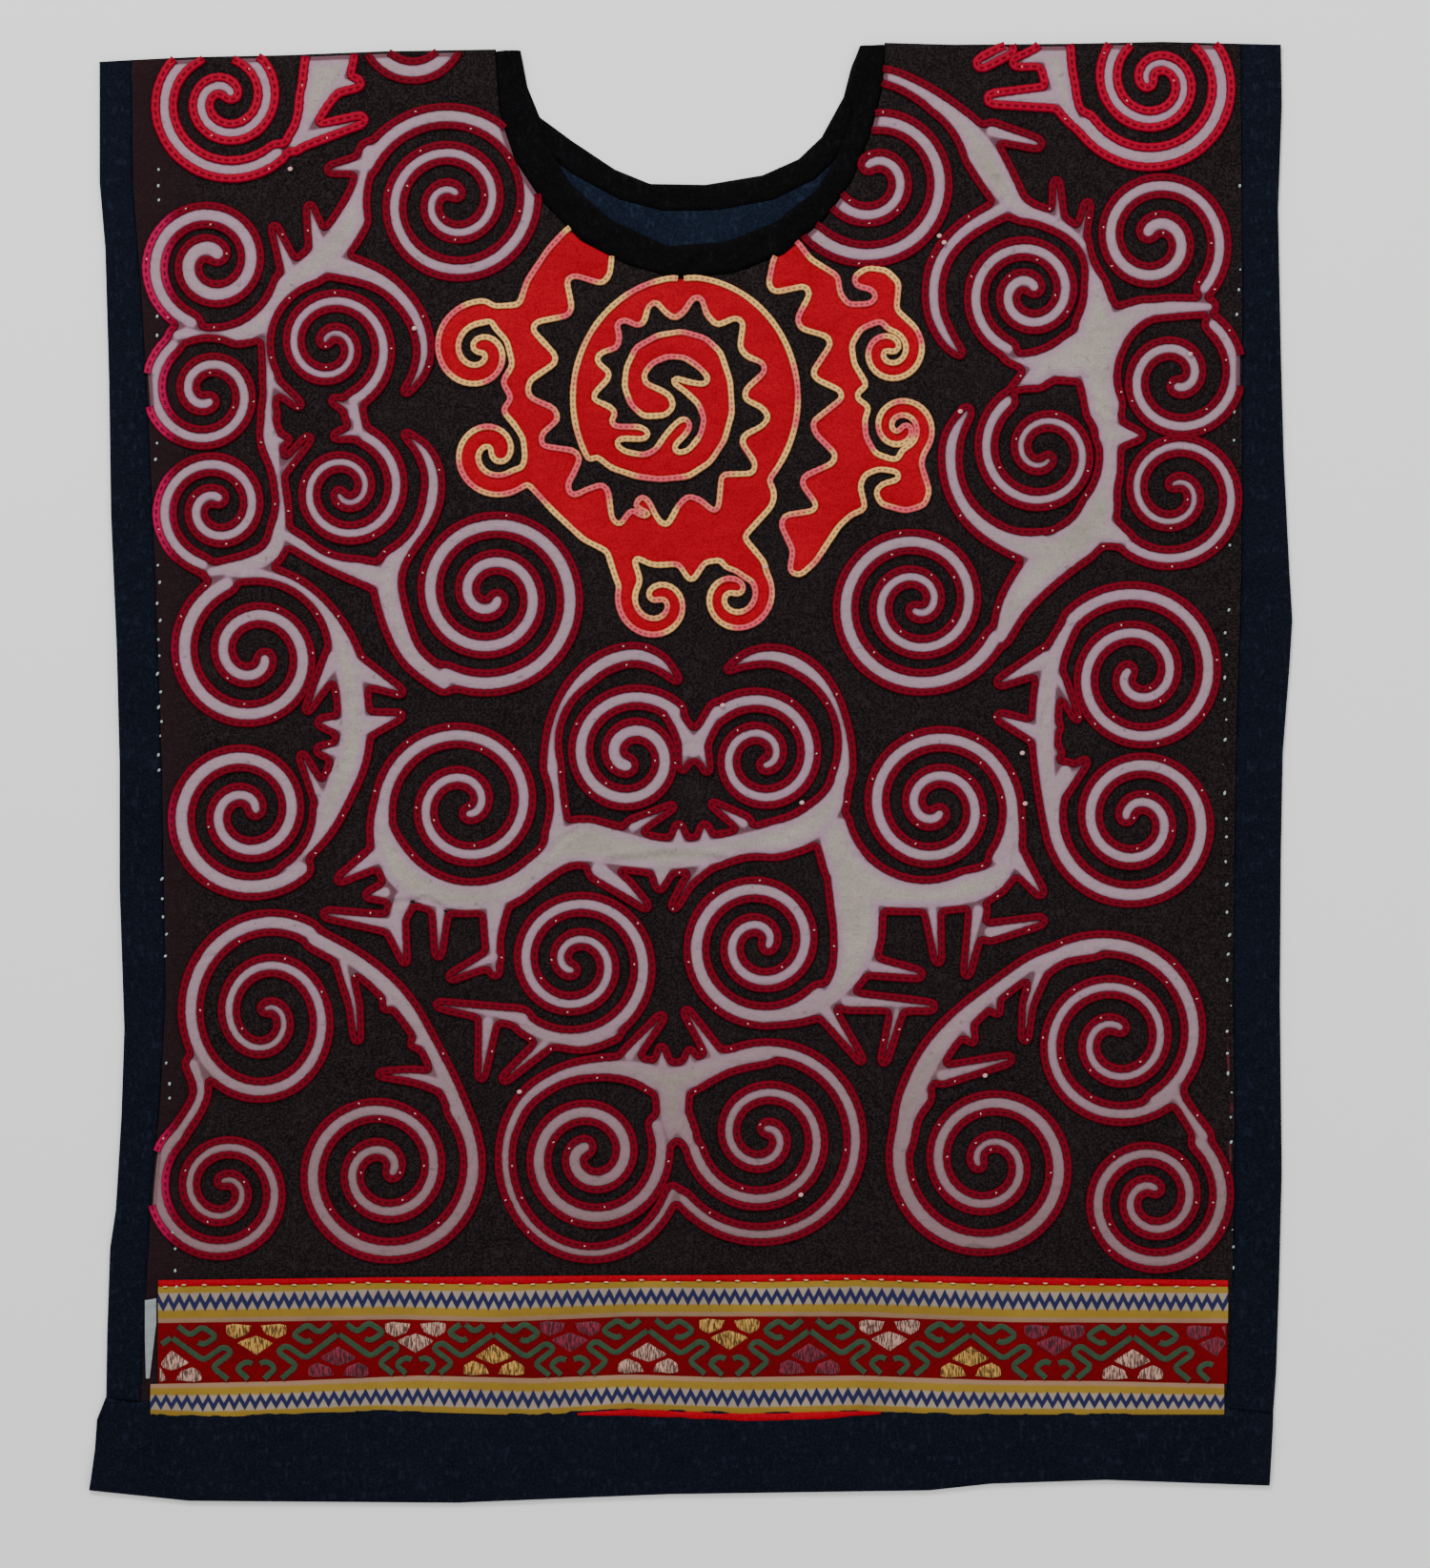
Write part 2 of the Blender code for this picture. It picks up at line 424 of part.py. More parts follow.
def contour_loops(field):
    """Closed outlines at zero, the cloth on the left of each."""
    d = np.pad(field["d"], 1, constant_values=9.0)
    x = np.concatenate(([field["x"][0] - FIELD_STEP], field["x"], [field["x"][-1] + FIELD_STEP]))
    y = np.concatenate(([field["y"][0] - FIELD_STEP], field["y"], [field["y"][-1] + FIELD_STEP]))
    inside = d < 0
    code = (inside[:-1, :-1] * 1 + inside[:-1, 1:] * 2 + inside[1:, 1:] * 4 + inside[1:, :-1] * 8)
    links = {1: ["TL"], 2: ["RT"], 3: ["RL"], 4: ["BR"], 5: ["TL", "BR"], 6: ["BT"], 7: ["BL"],
             8: ["LB"], 9: ["TB"], 10: ["RT", "LB"], 11: ["RB"], 12: ["LR"], 13: ["TR"], 14: ["LT"]}
    following = {}
    for r, c in zip(*np.nonzero((code > 0) & (code < 15))):
        sides = {"T": (r, c, 0), "B": (r + 1, c, 0), "L": (r, c, 1), "R": (r, c + 1, 1)}
        for first, last in links[int(code[r, c])]:
            following[sides[first]] = sides[last]

    def crossing(key):
        r, c, upright = key
        r2, c2 = (r + 1, c) if upright else (r, c + 1)
        share = d[r, c] / (d[r, c] - d[r2, c2])
        share = min(max(share, 0.02), 0.98)
        return (x[c] + share * (x[c2] - x[c]), y[r] + share * (y[r2] - y[r]))

    loops = []
    while following:
        start = next(iter(following))
        loop, key = [], start
        while key in following:
            loop.append(crossing(key))
            key = following.pop(key)
        loops.append(loop)
    return loops


def loop_area(loop):
    p = np.array(loop)
    q = np.roll(p, -1, axis=0)
    return 0.5 * float(np.sum(p[:, 0] * q[:, 1] - q[:, 0] * p[:, 1]))


def thin_out(points, tolerance):
    """Fewest points that stay within the tolerance of an open line."""
    if len(points) < 3:
        return points
    p = np.array(points)
    kept = np.zeros(len(p), bool)
    kept[0] = kept[-1] = True
    spans = [(0, len(p) - 1)]
    while spans:
        a, b = spans.pop()
        if b - a < 2:
            continue
        run = p[b] - p[a]
        length = max(float(np.hypot(*run)), TINY)
        off = np.abs((p[a + 1:b, 0] - p[a, 0]) * run[1] - (p[a + 1:b, 1] - p[a, 1]) * run[0]) / length
        worst = int(np.argmax(off))
        if off[worst] > tolerance:
            kept[a + 1 + worst] = True
            spans += [(a, a + 1 + worst), (a + 1 + worst, b)]
    return [points[i] for i in np.nonzero(kept)[0]]


def thin_out_loop(loop, tolerance):
    p = np.array(loop)
    far = int(np.argmax(np.hypot(*(p - p[0]).T)))
    first = thin_out(loop[:far + 1], tolerance)
    second = thin_out(loop[far:] + loop[:1], tolerance)
    return first[:-1] + second[:-1]


def holds(loop, point):
    """Whether a loop goes round a point."""
    p = np.array(loop)
    q = np.roll(p, -1, axis=0)
    crosses = (p[:, 1] > point[1]) != (q[:, 1] > point[1])
    p, q = p[crosses], q[crosses]
    at = p[:, 0] + (point[1] - p[:, 1]) * (q[:, 0] - p[:, 0]) / (q[:, 1] - p[:, 1])
    return bool(np.count_nonzero(at > point[0]) % 2)


def pieces_of(field, tolerance):
    """Cloth pieces of a drawing, largest first: each an outline and its holes."""
    loops = [loop for loop in contour_loops(field) if abs(loop_area(loop)) > SMALLEST_PIECE / 4]
    loops.sort(key=lambda loop: -abs(loop_area(loop)))
    outlines, holes = [], []
    for loop in loops:
        depth = sum(holds(other, loop[0]) for other in loops if other is not loop)
        (holes if depth % 2 else outlines).append(loop)
    pieces = []
    for outline in outlines:
        if abs(loop_area(outline)) < SMALLEST_PIECE:
            continue
        own = [h for h in holes if holds(outline, h[0])
               and not any(holds(o, h[0]) for o in outlines
                           if o is not outline and abs(loop_area(o)) < abs(loop_area(outline)))]
        pieces.append([thin_out_loop(loop, tolerance) for loop in [outline] + own])
    return pieces


# Meshes

def material(name, colour, roughness):
    mat = bpy.data.materials.new(name)
    mat.use_nodes = True
    shader = mat.node_tree.nodes["Principled BSDF"]
    shader.inputs["Base Color"].default_value = (*colour, 1.0)
    shader.inputs["Roughness"].default_value = roughness
    shader.inputs["Metallic"].default_value = 0.0
    return mat


def object_from(bm, name, mat):
    bmesh.ops.recalc_face_normals(bm, faces=bm.faces)
    mesh = bpy.data.meshes.new(name)
    bm.to_mesh(mesh)
    bm.free()
    obj = bpy.data.objects.new(name, mesh)
    bpy.context.scene.collection.objects.link(obj)
    mesh.materials.append(mat)
    return obj


def plate(name, loops, z, thickness, mat):
    """A flat piece of cloth with an outline and holes."""
    points = [Vector(p) for loop in loops for p in loop]
    edges, start = [], 0
    for loop in loops:
        n = len(loop)
        edges += [(start + i, start + (i + 1) % n) for i in range(n)]
        start += n
    coords, _, faces, origin, _, _ = delaunay_2d_cdt(points, edges, [], 1, 1e-6)
    bm = bmesh.new()
    low = [bm.verts.new(place(p.x, p.y, z)) for p in coords]
    high = [bm.verts.new(place(p.x, p.y, z + thickness)) for p in coords]
    used = set()
    for face in faces:
        middle = sum((coords[i] for i in face), Vector((0.0, 0.0))) / len(face)
        if sum(holds(loop, middle) for loop in loops) % 2 == 0:
            continue
        bm.faces.new([low[i] for i in face])
        bm.faces.new([high[i] for i in reversed(face)])
        for a, b in zip(face, face[1:] + face[:1]):
            used ^= {(min(a, b), max(a, b))}
    for a, b in used:
        bm.faces.new((low[a], low[b], high[b], high[a]))
    bmesh.ops.delete(bm, geom=[v for v in bm.verts if not v.link_faces], context="VERTS")
    return object_from(bm, name, mat)


def folded_cloth(name, front, back, folds, mat):
    """Front and back sheets of one length of cloth, joined where an edge is folded."""
    bm = bmesh.new()
    layers = {}
    for key, loop, z in (("front", front, FRONT_Z), ("back", back, BACK_Z)):
        low = [bm.verts.new(place(*p, z)) for p in loop]
        high = [bm.verts.new(place(*p, z + CLOTH)) for p in loop]
        for tri in tessellate_polygon([[Vector((*p, 0.0)) for p in loop]]):
            bm.faces.new([low[i] for i in tri])
            bm.faces.new([high[i] for i in reversed(tri)])
        layers[key] = (loop, low, high)

    def on_fold(p, q):
        return any(p in fold and q in fold for fold in folds)

    for loop, low, high in layers.values():
        n = len(loop)
        for i in range(n):
            j = (i + 1) % n
            if not on_fold(loop[i], loop[j]):
                bm.faces.new((low[i], low[j], high[j], high[i]))
    radius = (FRONT_Z + CLOTH - BACK_Z) / 2
    for fold in folds:
        rows = []
        for p in fold:
            f, b = layers["front"][0].index(p), layers["back"][0].index(p)
            arc = [layers["front"][2][f]]
            for k in range(1, FOLD_ROWS):
                turn = math.pi * k / FOLD_ROWS
                at = place(*p, BACK_Z + radius + radius * math.cos(turn))
                arc.append(bm.verts.new(at + Vector((0.0, radius * math.sin(turn), 0.0))))
            arc.append(layers["back"][1][b])
            rows.append((arc, layers["front"][1][f], layers["back"][2][b]))
        for (arc, in_f, in_b), (arc2, in_f2, in_b2) in zip(rows[:-1], rows[1:]):
            for k in range(FOLD_ROWS):
                bm.faces.new((arc[k], arc[k + 1], arc2[k + 1], arc2[k]))
            bm.faces.new((in_f, in_b, in_b2, in_f2))
        for arc, in_f, in_b in (rows[0], rows[-1]):
            bm.faces.new(arc + [in_b, in_f])
    return object_from(bm, name, mat)


def shifted(points, across=0.0, down=0.0):
    return [(a + across, d + down) for a, d in points]


def set_in(points, steps):
    """An open line moved square to itself, to the left of its direction on the chart."""
    p = np.array(points, float)
    along = np.gradient(p, axis=0)
    along /= np.hypot(along[:, 0], along[:, 1])[:, None]
    moved = p + steps * np.stack((along[:, 1], -along[:, 0]), axis=1)
    return [(float(a), float(d)) for a, d in moved]


def reverse(points):
    return list(reversed(points))


def line_at(points, across):
    return float(np.interp(across, [p[0] for p in points], [p[1] for p in points]))


def between(top, foot, left, right):
    """Closed outline between two lines that run across, cut at two columns."""
    upper = [(left, line_at(top, left))] + [p for p in top if left < p[0] < right]
    upper.append((right, line_at(top, right)))
    lower = [(left, line_at(foot, left))] + [p for p in foot if left < p[0] < right]
    lower.append((right, line_at(foot, right)))
    return upper + reverse(lower)


def build():
    for obj in list(bpy.data.objects):
        bpy.data.objects.remove(obj, do_unlink=True)

    ground = material("ground_cotton", (0.016, 0.012, 0.011), 0.75)
    navy = material("indigo_cotton", (0.006, 0.008, 0.017), 0.85)
    binding = material("black_binding", (0.006, 0.006, 0.007), 0.8)
    lining = material("indigo_lining", (0.007, 0.011, 0.022), 0.85)
    cream = material("faded_cotton", (0.34, 0.27, 0.26), 0.9)
    red = material("red_cotton", (0.47, 0.008, 0.011), 0.85)
    ribbon = material("woven_ribbon", (0.26, 0.17, 0.07), 0.85)
    band = material("red_woven_band", (0.16, 0.008, 0.006), 0.85)
    pale = material("pale_tape", (0.30, 0.34, 0.36), 0.85)

    seam = SEAM_STEPS / 2
    left_seam = shifted(LEFT_STRIP_SEAM, across=seam)
    right_seam = shifted(RIGHT_STRIP_SEAM, across=-seam)
    left_shoulder = [left_seam[0]] + SHOULDER_LEFT[1:-1] + [(520 - seam, 54)]
    right_shoulder = [(928 + seam, 47)] + SHOULDER_RIGHT[1:-1] + [right_seam[0]]
    foot = shifted(HEM_SEAM, down=-seam)
    foot = [(left_seam[-1][0], foot[0][1])] + foot[1:-1] + [(right_seam[-1][0], foot[-1][1])]

    def body_loop(neck):
        return (left_shoulder + neck + right_shoulder + right_seam[1:-1] + reverse(foot)
                + reverse(left_seam[1:-1]))

    folded_cloth("body_panel", body_loop(FRONT_NECK_SEAM[1:-1]), body_loop(BACK_NECK_SEAM[1:-1]),
                 [left_shoulder, right_shoulder], ground)

    def strip_loop(outer, inner):
        return outer + reverse(inner)

    left_inner = shifted(LEFT_STRIP_SEAM, across=-seam)
    left_loop = strip_loop(LEFT_EDGE, left_inner)
    folded_cloth("side_strip_left", left_loop, left_loop, [[LEFT_EDGE[0], left_inner[0]]], navy)
    right_inner = shifted(RIGHT_STRIP_SEAM, across=seam)
    right_loop = strip_loop(RIGHT_EDGE, right_inner)
    folded_cloth("side_strip_right", right_loop, right_loop, [[RIGHT_EDGE[0], right_inner[0]]], navy)

    hem_top = ([(111, 1465)] + HEM_SEAM + [(1336, 1482)])
    hem_top = shifted(hem_top, down=SEAM_STEPS)
    left_end = shifted(HEM_LEFT_END[1:-1])
    right_end = shifted(HEM_RIGHT_END[1:-1])
    whole = hem_top + right_end + reverse(HEM_EDGE) + reverse(left_end)
    plate("hem_band_back", [whole], BACK_Z, CLOTH, navy)
    left_part = ([p for p in hem_top if p[0] < HEM_JOIN] + [(HEM_JOIN - seam, line_at(hem_top, HEM_JOIN))]
                 + [(HEM_JOIN - seam, line_at(HEM_EDGE, HEM_JOIN))]
                 + reverse([p for p in HEM_EDGE if p[0] < HEM_JOIN]) + reverse(left_end))
    plate("hem_band_front_left", [left_part], FRONT_Z, CLOTH, navy)
    right_part = ([(HEM_JOIN + seam, line_at(hem_top, HEM_JOIN))] + [p for p in hem_top if p[0] > HEM_JOIN]
                  + right_end + reverse([p for p in HEM_EDGE if p[0] > HEM_JOIN])
                  + [(HEM_JOIN + seam, line_at(HEM_EDGE, HEM_JOIN))])
    plate("hem_band_front_right", [right_part], FRONT_Z, CLOTH, navy)

    front_ring = set_in(FRONT_NECK_SEAM, SEAM_STEPS) + reverse(FRONT_NECK_EDGE)
    plate("neck_binding_front", [front_ring], FRONT_Z, CLOTH, binding)
    back_ring = set_in(BACK_NECK_SEAM, SEAM_STEPS) + reverse(BACK_NECK_EDGE)
    plate("neck_binding_back", [back_ring], BACK_Z, CLOTH, binding)
    plate("neck_facing_back", [FACING_TOP + reverse(FACING_FOOT)], FRONT_Z, FACING_CLOTH, lining)

    band_top = shifted(UPPER_RIBBON_FOOT, down=SEAM_STEPS)
    upper_top = shifted(UPPER_RIBBON_TOP, down=SEAM_STEPS)
    lower_top = shifted(LOWER_RIBBON_TOP, down=SEAM_STEPS)
    piping_top = shifted(LOWER_RIBBON_FOOT, down=SEAM_STEPS)
    plate("red_edge_strip", [between(RED_EDGE_TOP, UPPER_RIBBON_TOP, TRIM_LEFT, TRIM_RIGHT)],
          APPLIQUE_Z, APPLIQUE_CLOTH, red)
    plate("zigzag_ribbon_upper", [between(upper_top, UPPER_RIBBON_FOOT, TRIM_LEFT, TRIM_RIGHT)],
          APPLIQUE_Z, RIBBON_CLOTH, ribbon)
    plate("woven_band", [between(band_top, LOWER_RIBBON_TOP, TRIM_LEFT, TRIM_RIGHT - 1)],
          APPLIQUE_Z, RIBBON_CLOTH, band)
    plate("zigzag_ribbon_lower", [between(lower_top, LOWER_RIBBON_FOOT, *LOWER_RIBBON_ENDS)],
          APPLIQUE_Z, RIBBON_CLOTH, ribbon)
    plate("red_piping", [between(piping_top, PIPING_FOOT, *PIPING_ENDS)],
          APPLIQUE_Z, APPLIQUE_CLOTH, red)
    plate("pale_tab", [TAB_OUTLINE], APPLIQUE_Z, APPLIQUE_CLOTH, pale)

    neck = front_neck_loop()
    edges = [(LEFT_STRIP_SEAM, "left", 2.0), (RIGHT_STRIP_SEAM, "right", 2.0),
             (SHOULDER_LEFT + SHOULDER_RIGHT, "top", 0.5), (RED_EDGE_TOP, "foot", 1.5)]
    for colour, drawing, mat in (("cream", cream_field(), cream), ("red", red_field(), red)):
        keep_inside(drawing, edges)
        keep_outside(drawing, neck, 1.0)
        for n, loops in enumerate(pieces_of(drawing, EDGE_TOLERANCE)):
            name = f"applique_{colour}_{n + 1:02d}"
            obj = plate(name, loops, APPLIQUE_Z, APPLIQUE_CLOTH, mat)
            print(name, "holes", len(loops) - 1, "triangles", triangles_in(obj))


def front_neck_loop():
    """Neck outline on the front, closed above the shoulders."""
    return FRONT_NECK_SEAM + [(FRONT_NECK_SEAM[-1][0], NECK_TOP), (FRONT_NECK_SEAM[0][0], NECK_TOP)]


def triangles_in(obj):
    return sum(len(face.vertices) - 2 for face in obj.data.polygons)


build()
total = sum(triangles_in(obj) for obj in bpy.data.objects)
print("objects", len(bpy.data.objects), "triangles", total)
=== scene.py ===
# %% [markdown]
# # An appliqued tunic, laid flat
# The tunic is a boxy cotton shirt with spirals of pale cloth sewn on dark open cloth.
# A thick cord is couched over every cut edge, and woven ribbons close the foot.
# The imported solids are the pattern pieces. Here each gets its real surface: a thin shell
# on the solid's form, with its threads, folds, fading and stitches.

# %% Frame
import math

import bpy
import numpy as np
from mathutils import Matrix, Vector
from mathutils.geometry import tessellate_polygon


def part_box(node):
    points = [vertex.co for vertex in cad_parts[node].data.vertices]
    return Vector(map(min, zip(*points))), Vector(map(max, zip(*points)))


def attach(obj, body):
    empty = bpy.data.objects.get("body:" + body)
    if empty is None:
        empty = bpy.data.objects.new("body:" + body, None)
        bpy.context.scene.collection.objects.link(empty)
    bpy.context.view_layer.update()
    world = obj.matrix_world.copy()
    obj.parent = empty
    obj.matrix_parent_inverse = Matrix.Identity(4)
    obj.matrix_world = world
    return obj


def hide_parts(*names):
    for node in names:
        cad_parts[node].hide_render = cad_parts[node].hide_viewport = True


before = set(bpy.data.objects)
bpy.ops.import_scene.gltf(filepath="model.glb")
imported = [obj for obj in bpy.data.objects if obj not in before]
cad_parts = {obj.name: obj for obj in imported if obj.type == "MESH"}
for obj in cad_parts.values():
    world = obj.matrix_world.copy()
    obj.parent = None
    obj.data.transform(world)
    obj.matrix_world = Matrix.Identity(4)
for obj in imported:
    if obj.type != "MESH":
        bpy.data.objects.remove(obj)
bpy.ops.object.select_all(action="DESELECT")
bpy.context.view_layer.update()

# %% [markdown]
# ## Places read off the photo
# All pieces share one set of places, read off the photo. A place is (across, down) in
# pixels of the photo, and one pixel is taken as 0.47 mm of cloth, an estimate. The same
# places shaped the solids, but for two corners of the medallion's left wing and softer corners.

# %% Sizes of the garment
PHOTO_PIXEL = 0.00047                   # one pixel of the photo on the cloth, in metres
CENTRE_ACROSS = 724.5
CENTRE_DOWN = 811.0
CLOTH = 0.0012
SEAM_GAP = 0.0003
BACK_TOP = CLOTH                        # upper face of the back cloth
FRONT_Z = CLOTH + SEAM_GAP
FRONT_TOP = FRONT_Z + CLOTH             # upper face of the front cloth
FIELD_STEP = 2.4                        # grid step of the applique cloth, in photo pixels
EDGE_SOFTENING = 1

# %% Outlines: (across, down), left to right or top to bottom
LEFT_EDGE = [(104, 67), (104, 190), (110, 260), (114, 400), (116, 540), (122, 680), (125, 800),
             (125, 930), (130, 1080), (127, 1170), (121, 1270), (115, 1310), (112, 1400), (111, 1465)]
LEFT_STRIP_SEAM = [(138, 65), (140, 200), (148, 300), (156, 440), (163, 600), (170, 800),
                   (174, 1040), (168, 1160), (159, 1250), (153, 1360), (148, 1470)]
RIGHT_EDGE = [(1344, 49), (1345, 110), (1341, 220), (1344, 370), (1347, 480), (1353, 600),
              (1356, 650), (1353, 700), (1346, 790), (1344, 900), (1343, 1050), (1345, 1230),
              (1342, 1350), (1339, 1440), (1336, 1482)]
RIGHT_STRIP_SEAM = [(1301, 48), (1303, 300), (1302, 600), (1296, 800), (1293, 1040),
                    (1295, 1160), (1293, 1330), (1289, 1420), (1286, 1476)]
HEM_EDGE = [(93, 1564), (198, 1575), (480, 1577), (700, 1568), (975, 1564), (1040, 1557),
            (1160, 1553), (1332, 1559)]
HEM_SEAM = [(148, 1470), (400, 1466), (650, 1462), (975, 1466), (1286, 1476)]
HEM_LEFT_END = [(111, 1465), (101, 1490), (99, 1520), (93, 1564)]
HEM_RIGHT_END = [(1336, 1482), (1333, 1500), (1332, 1559)]
HEM_JOIN = 975              # column where the front hem band is pieced
SHOULDER_LEFT = [(138, 65), (200, 62), (300, 60), (400, 56), (520, 54)]
SHOULDER_RIGHT = [(928, 47), (1000, 49), (1120, 48), (1220, 46), (1301, 48)]
FRONT_NECK_SEAM = [(520, 54), (525, 120), (541, 168), (570, 212), (610, 252), (660, 278),
                   (712, 292), (770, 286), (822, 266), (866, 228), (893, 190), (912, 142),
                   (925, 92), (928, 47)]
FRONT_NECK_EDGE = [(546, 53), (554, 100), (572, 150), (598, 192), (640, 230), (700, 258),
                   (760, 254), (812, 234), (858, 198), (880, 160), (896, 118), (889, 92),
                   (896, 66), (902, 48)]
BACK_NECK_EDGE = [(546, 53), (553, 90), (566, 122), (600, 147), (645, 177), (682, 192),
                  (740, 193), (800, 183), (838, 166), (862, 143), (885, 101), (893, 70), (902, 48)]
BACK_NECK_SEAM = [(520, 54), (532, 110), (556, 150), (600, 182), (650, 209), (696, 221),
                  (752, 220), (812, 209), (856, 187), (886, 158), (908, 112), (928, 47)]
FACING_FOOT = [(616, 204), (640, 227), (700, 255), (760, 251), (810, 231), (846, 204)]

NECK_TOP = 20               # row above the shoulders where the neck's shape is closed

RED_EDGE_TOP = [(166, 1343), (400, 1340), (640, 1338), (880, 1337), (1060, 1340), (1288, 1343)]
UPPER_RIBBON_TOP = [(166, 1350), (300, 1348), (400, 1346), (520, 1348), (680, 1344), (800, 1345),
                    (900, 1343), (1060, 1348), (1288, 1350)]
UPPER_RIBBON_FOOT = [(166, 1388), (300, 1386), (420, 1384), (520, 1387), (660, 1381), (900, 1381),
                     (1060, 1387), (1288, 1388)]
LOWER_RIBBON_TOP = [(158, 1452), (300, 1449), (440, 1443), (560, 1446), (660, 1442), (760, 1445),
                    (900, 1443), (1040, 1448), (1160, 1449), (1286, 1452)]
LOWER_RIBBON_FOOT = [(158, 1484), (220, 1487), (400, 1480), (560, 1485), (660, 1478), (780, 1483),
                     (900, 1480), (1000, 1484), (1284, 1484)]
PIPING_FOOT = [(598, 1485), (680, 1486), (780, 1491), (860, 1489), (930, 1483)]

# %% [markdown]
# ## The spirals
# Each spiral arm is a strip of cloth that turns round a centre while its radius and width
# change evenly. One row with its two radii and its turn holds the whole arm, and the maker
# can correct it by eye. Drawing it point by point would take fifty numbers instead of nine.

# %% Spirals
# Cream spirals: centre, radius of the arm at its tip and at its end, angle of the tip,
# turn (clockwise is positive), width at the tip and at the end, upright stretch
SPIRAL_COLUMNS = ("across", "down", "r_tip", "r_end", "start", "sweep", "w_tip", "w_end", "stretch")
CREAM_SPIRALS = [
    (236, 105, 10, 78, 310, -625, 17, 19, 1.0),
    (433, 30, 45, 45, 5, 170, 20, 20, 1.0),
    (222, 276, 12, 66, 300, -552, 22, 19, 1.0),
    (475, 212, 10, 97, 290, -803, 15, 20, 1.0),
    (347, 363, 8, 62, 220, 568, 13, 18, 1.0),
    (218, 412, 10, 62, 80, 515, 17, 18, 1.0),
    (362, 514, 8, 60, 140, -570, 13, 18, 1.0),
    (227, 533, 11, 61, 285, -542, 17, 18, 1.0),
    (515, 624, 9, 96, 40, 800, 18, 21, 1.0),
    (266, 687, 13, 80, 20, 590, 18, 21, 1.0),
    (258, 853, 11, 82, 340, -655, 17, 22, 1.0),
    (487, 845, 10, 86, 60, -610, 16, 20, 1.0),
    (604, 1010, 9, 84, 120, 730, 15, 20, 1.0),
    (279, 1067, 8, 92, 270, 750, 13, 21, 1.12),
    (402, 1228, 10, 99, 10, -770, 16, 20, 1.0),
    (235, 1248, 9, 75, 260, 690, 13, 18, 1.0),
    (662, 793, 11, 66, 115, 560, 20, 19, 1.0),
    (798, 794, 10, 64, 60, -555, 15, 19, 1.0),
    (797, 990, 9, 81, 10, -690, 16, 21, 1.0),
    (620, 1212, 11, 76, 235, -620, 19, 19, 1.0),
    (620, 1215, 90, 91, 202, -182, 15, 14, 1.1),
    (801, 1192, 9, 74, 290, 600, 15, 18, 1.0),
    (801, 1192, 88, 107, 245, 258, 19, 16, 1.0),
    (1212, 86, 9, 86, 180, 690, 15, 21, 1.0),
    (1212, 252, 12, 72, 230, 535, 20, 18, 1.0),
    (916, 187, 15, 101, 250, 740, 17, 21, 1.0),
    (1079, 308, 9, 62, 310, -560, 18, 18, 1.0),
    (1233, 396, 10, 68, 80, -495, 17, 18, 1.0),
    (1094, 474, 10, 65, 55, 540, 13, 18, 1.0),
    (1232, 517, 9, 73, 260, 590, 13, 18, 1.0),
    (961, 633, 8, 90, 100, -797, 15, 21, 1.0),
    (1193, 708, 11, 90, 200, -700, 17, 20, 1.0),
    (1192, 861, 12, 91, 205, 730, 17, 21, 1.0),
    (981, 846, 9, 85, 60, 700, 17, 20, 1.0),
    (1170, 1092, 15, 82, 290, -610, 15, 18, 1.0),
    (1165, 1090, 106, 79, 225, 190, 22, 18, 1.0),
    (1037, 1220, 11, 99, 175, 770, 14, 22, 1.0),
    (1208, 1258, 12, 78, 290, -700, 15, 19, 1.0),
]

# %% [markdown]
# ## Bodies, links and prongs
# Between the spirals lie bodies that look like birds and flames. They are strokes with a
# width at each point, as from a brush. Round grounds are cut out of them first, and links
# and pointed prongs are then laid on.

# %% Bodies
# Round grounds cut out of the cream bodies: centre and radius
GROUND_DISCS = [
    (236, 105, 78), (222, 276, 68), (475, 212, 90), (350, 361, 66), (219, 412, 57), (373, 515, 71),
    (230, 527, 59), (515, 625, 84), (268, 687, 77), (262, 851, 66), (495, 843, 82), (604, 1008, 80),
    (282, 1067, 84), (660, 780, 74), (797, 780, 82), (795, 978, 79), (622, 1212, 76), (801, 1192, 70),
    (1212, 86, 84), (1207, 250, 64), (930, 187, 84), (1068, 302, 69), (1232, 395, 60), (1083, 478, 70),
    (1233, 520, 61), (965, 630, 80), (1193, 705, 76), (1192, 861, 76), (970, 842, 81), (1170, 1092, 78),
]

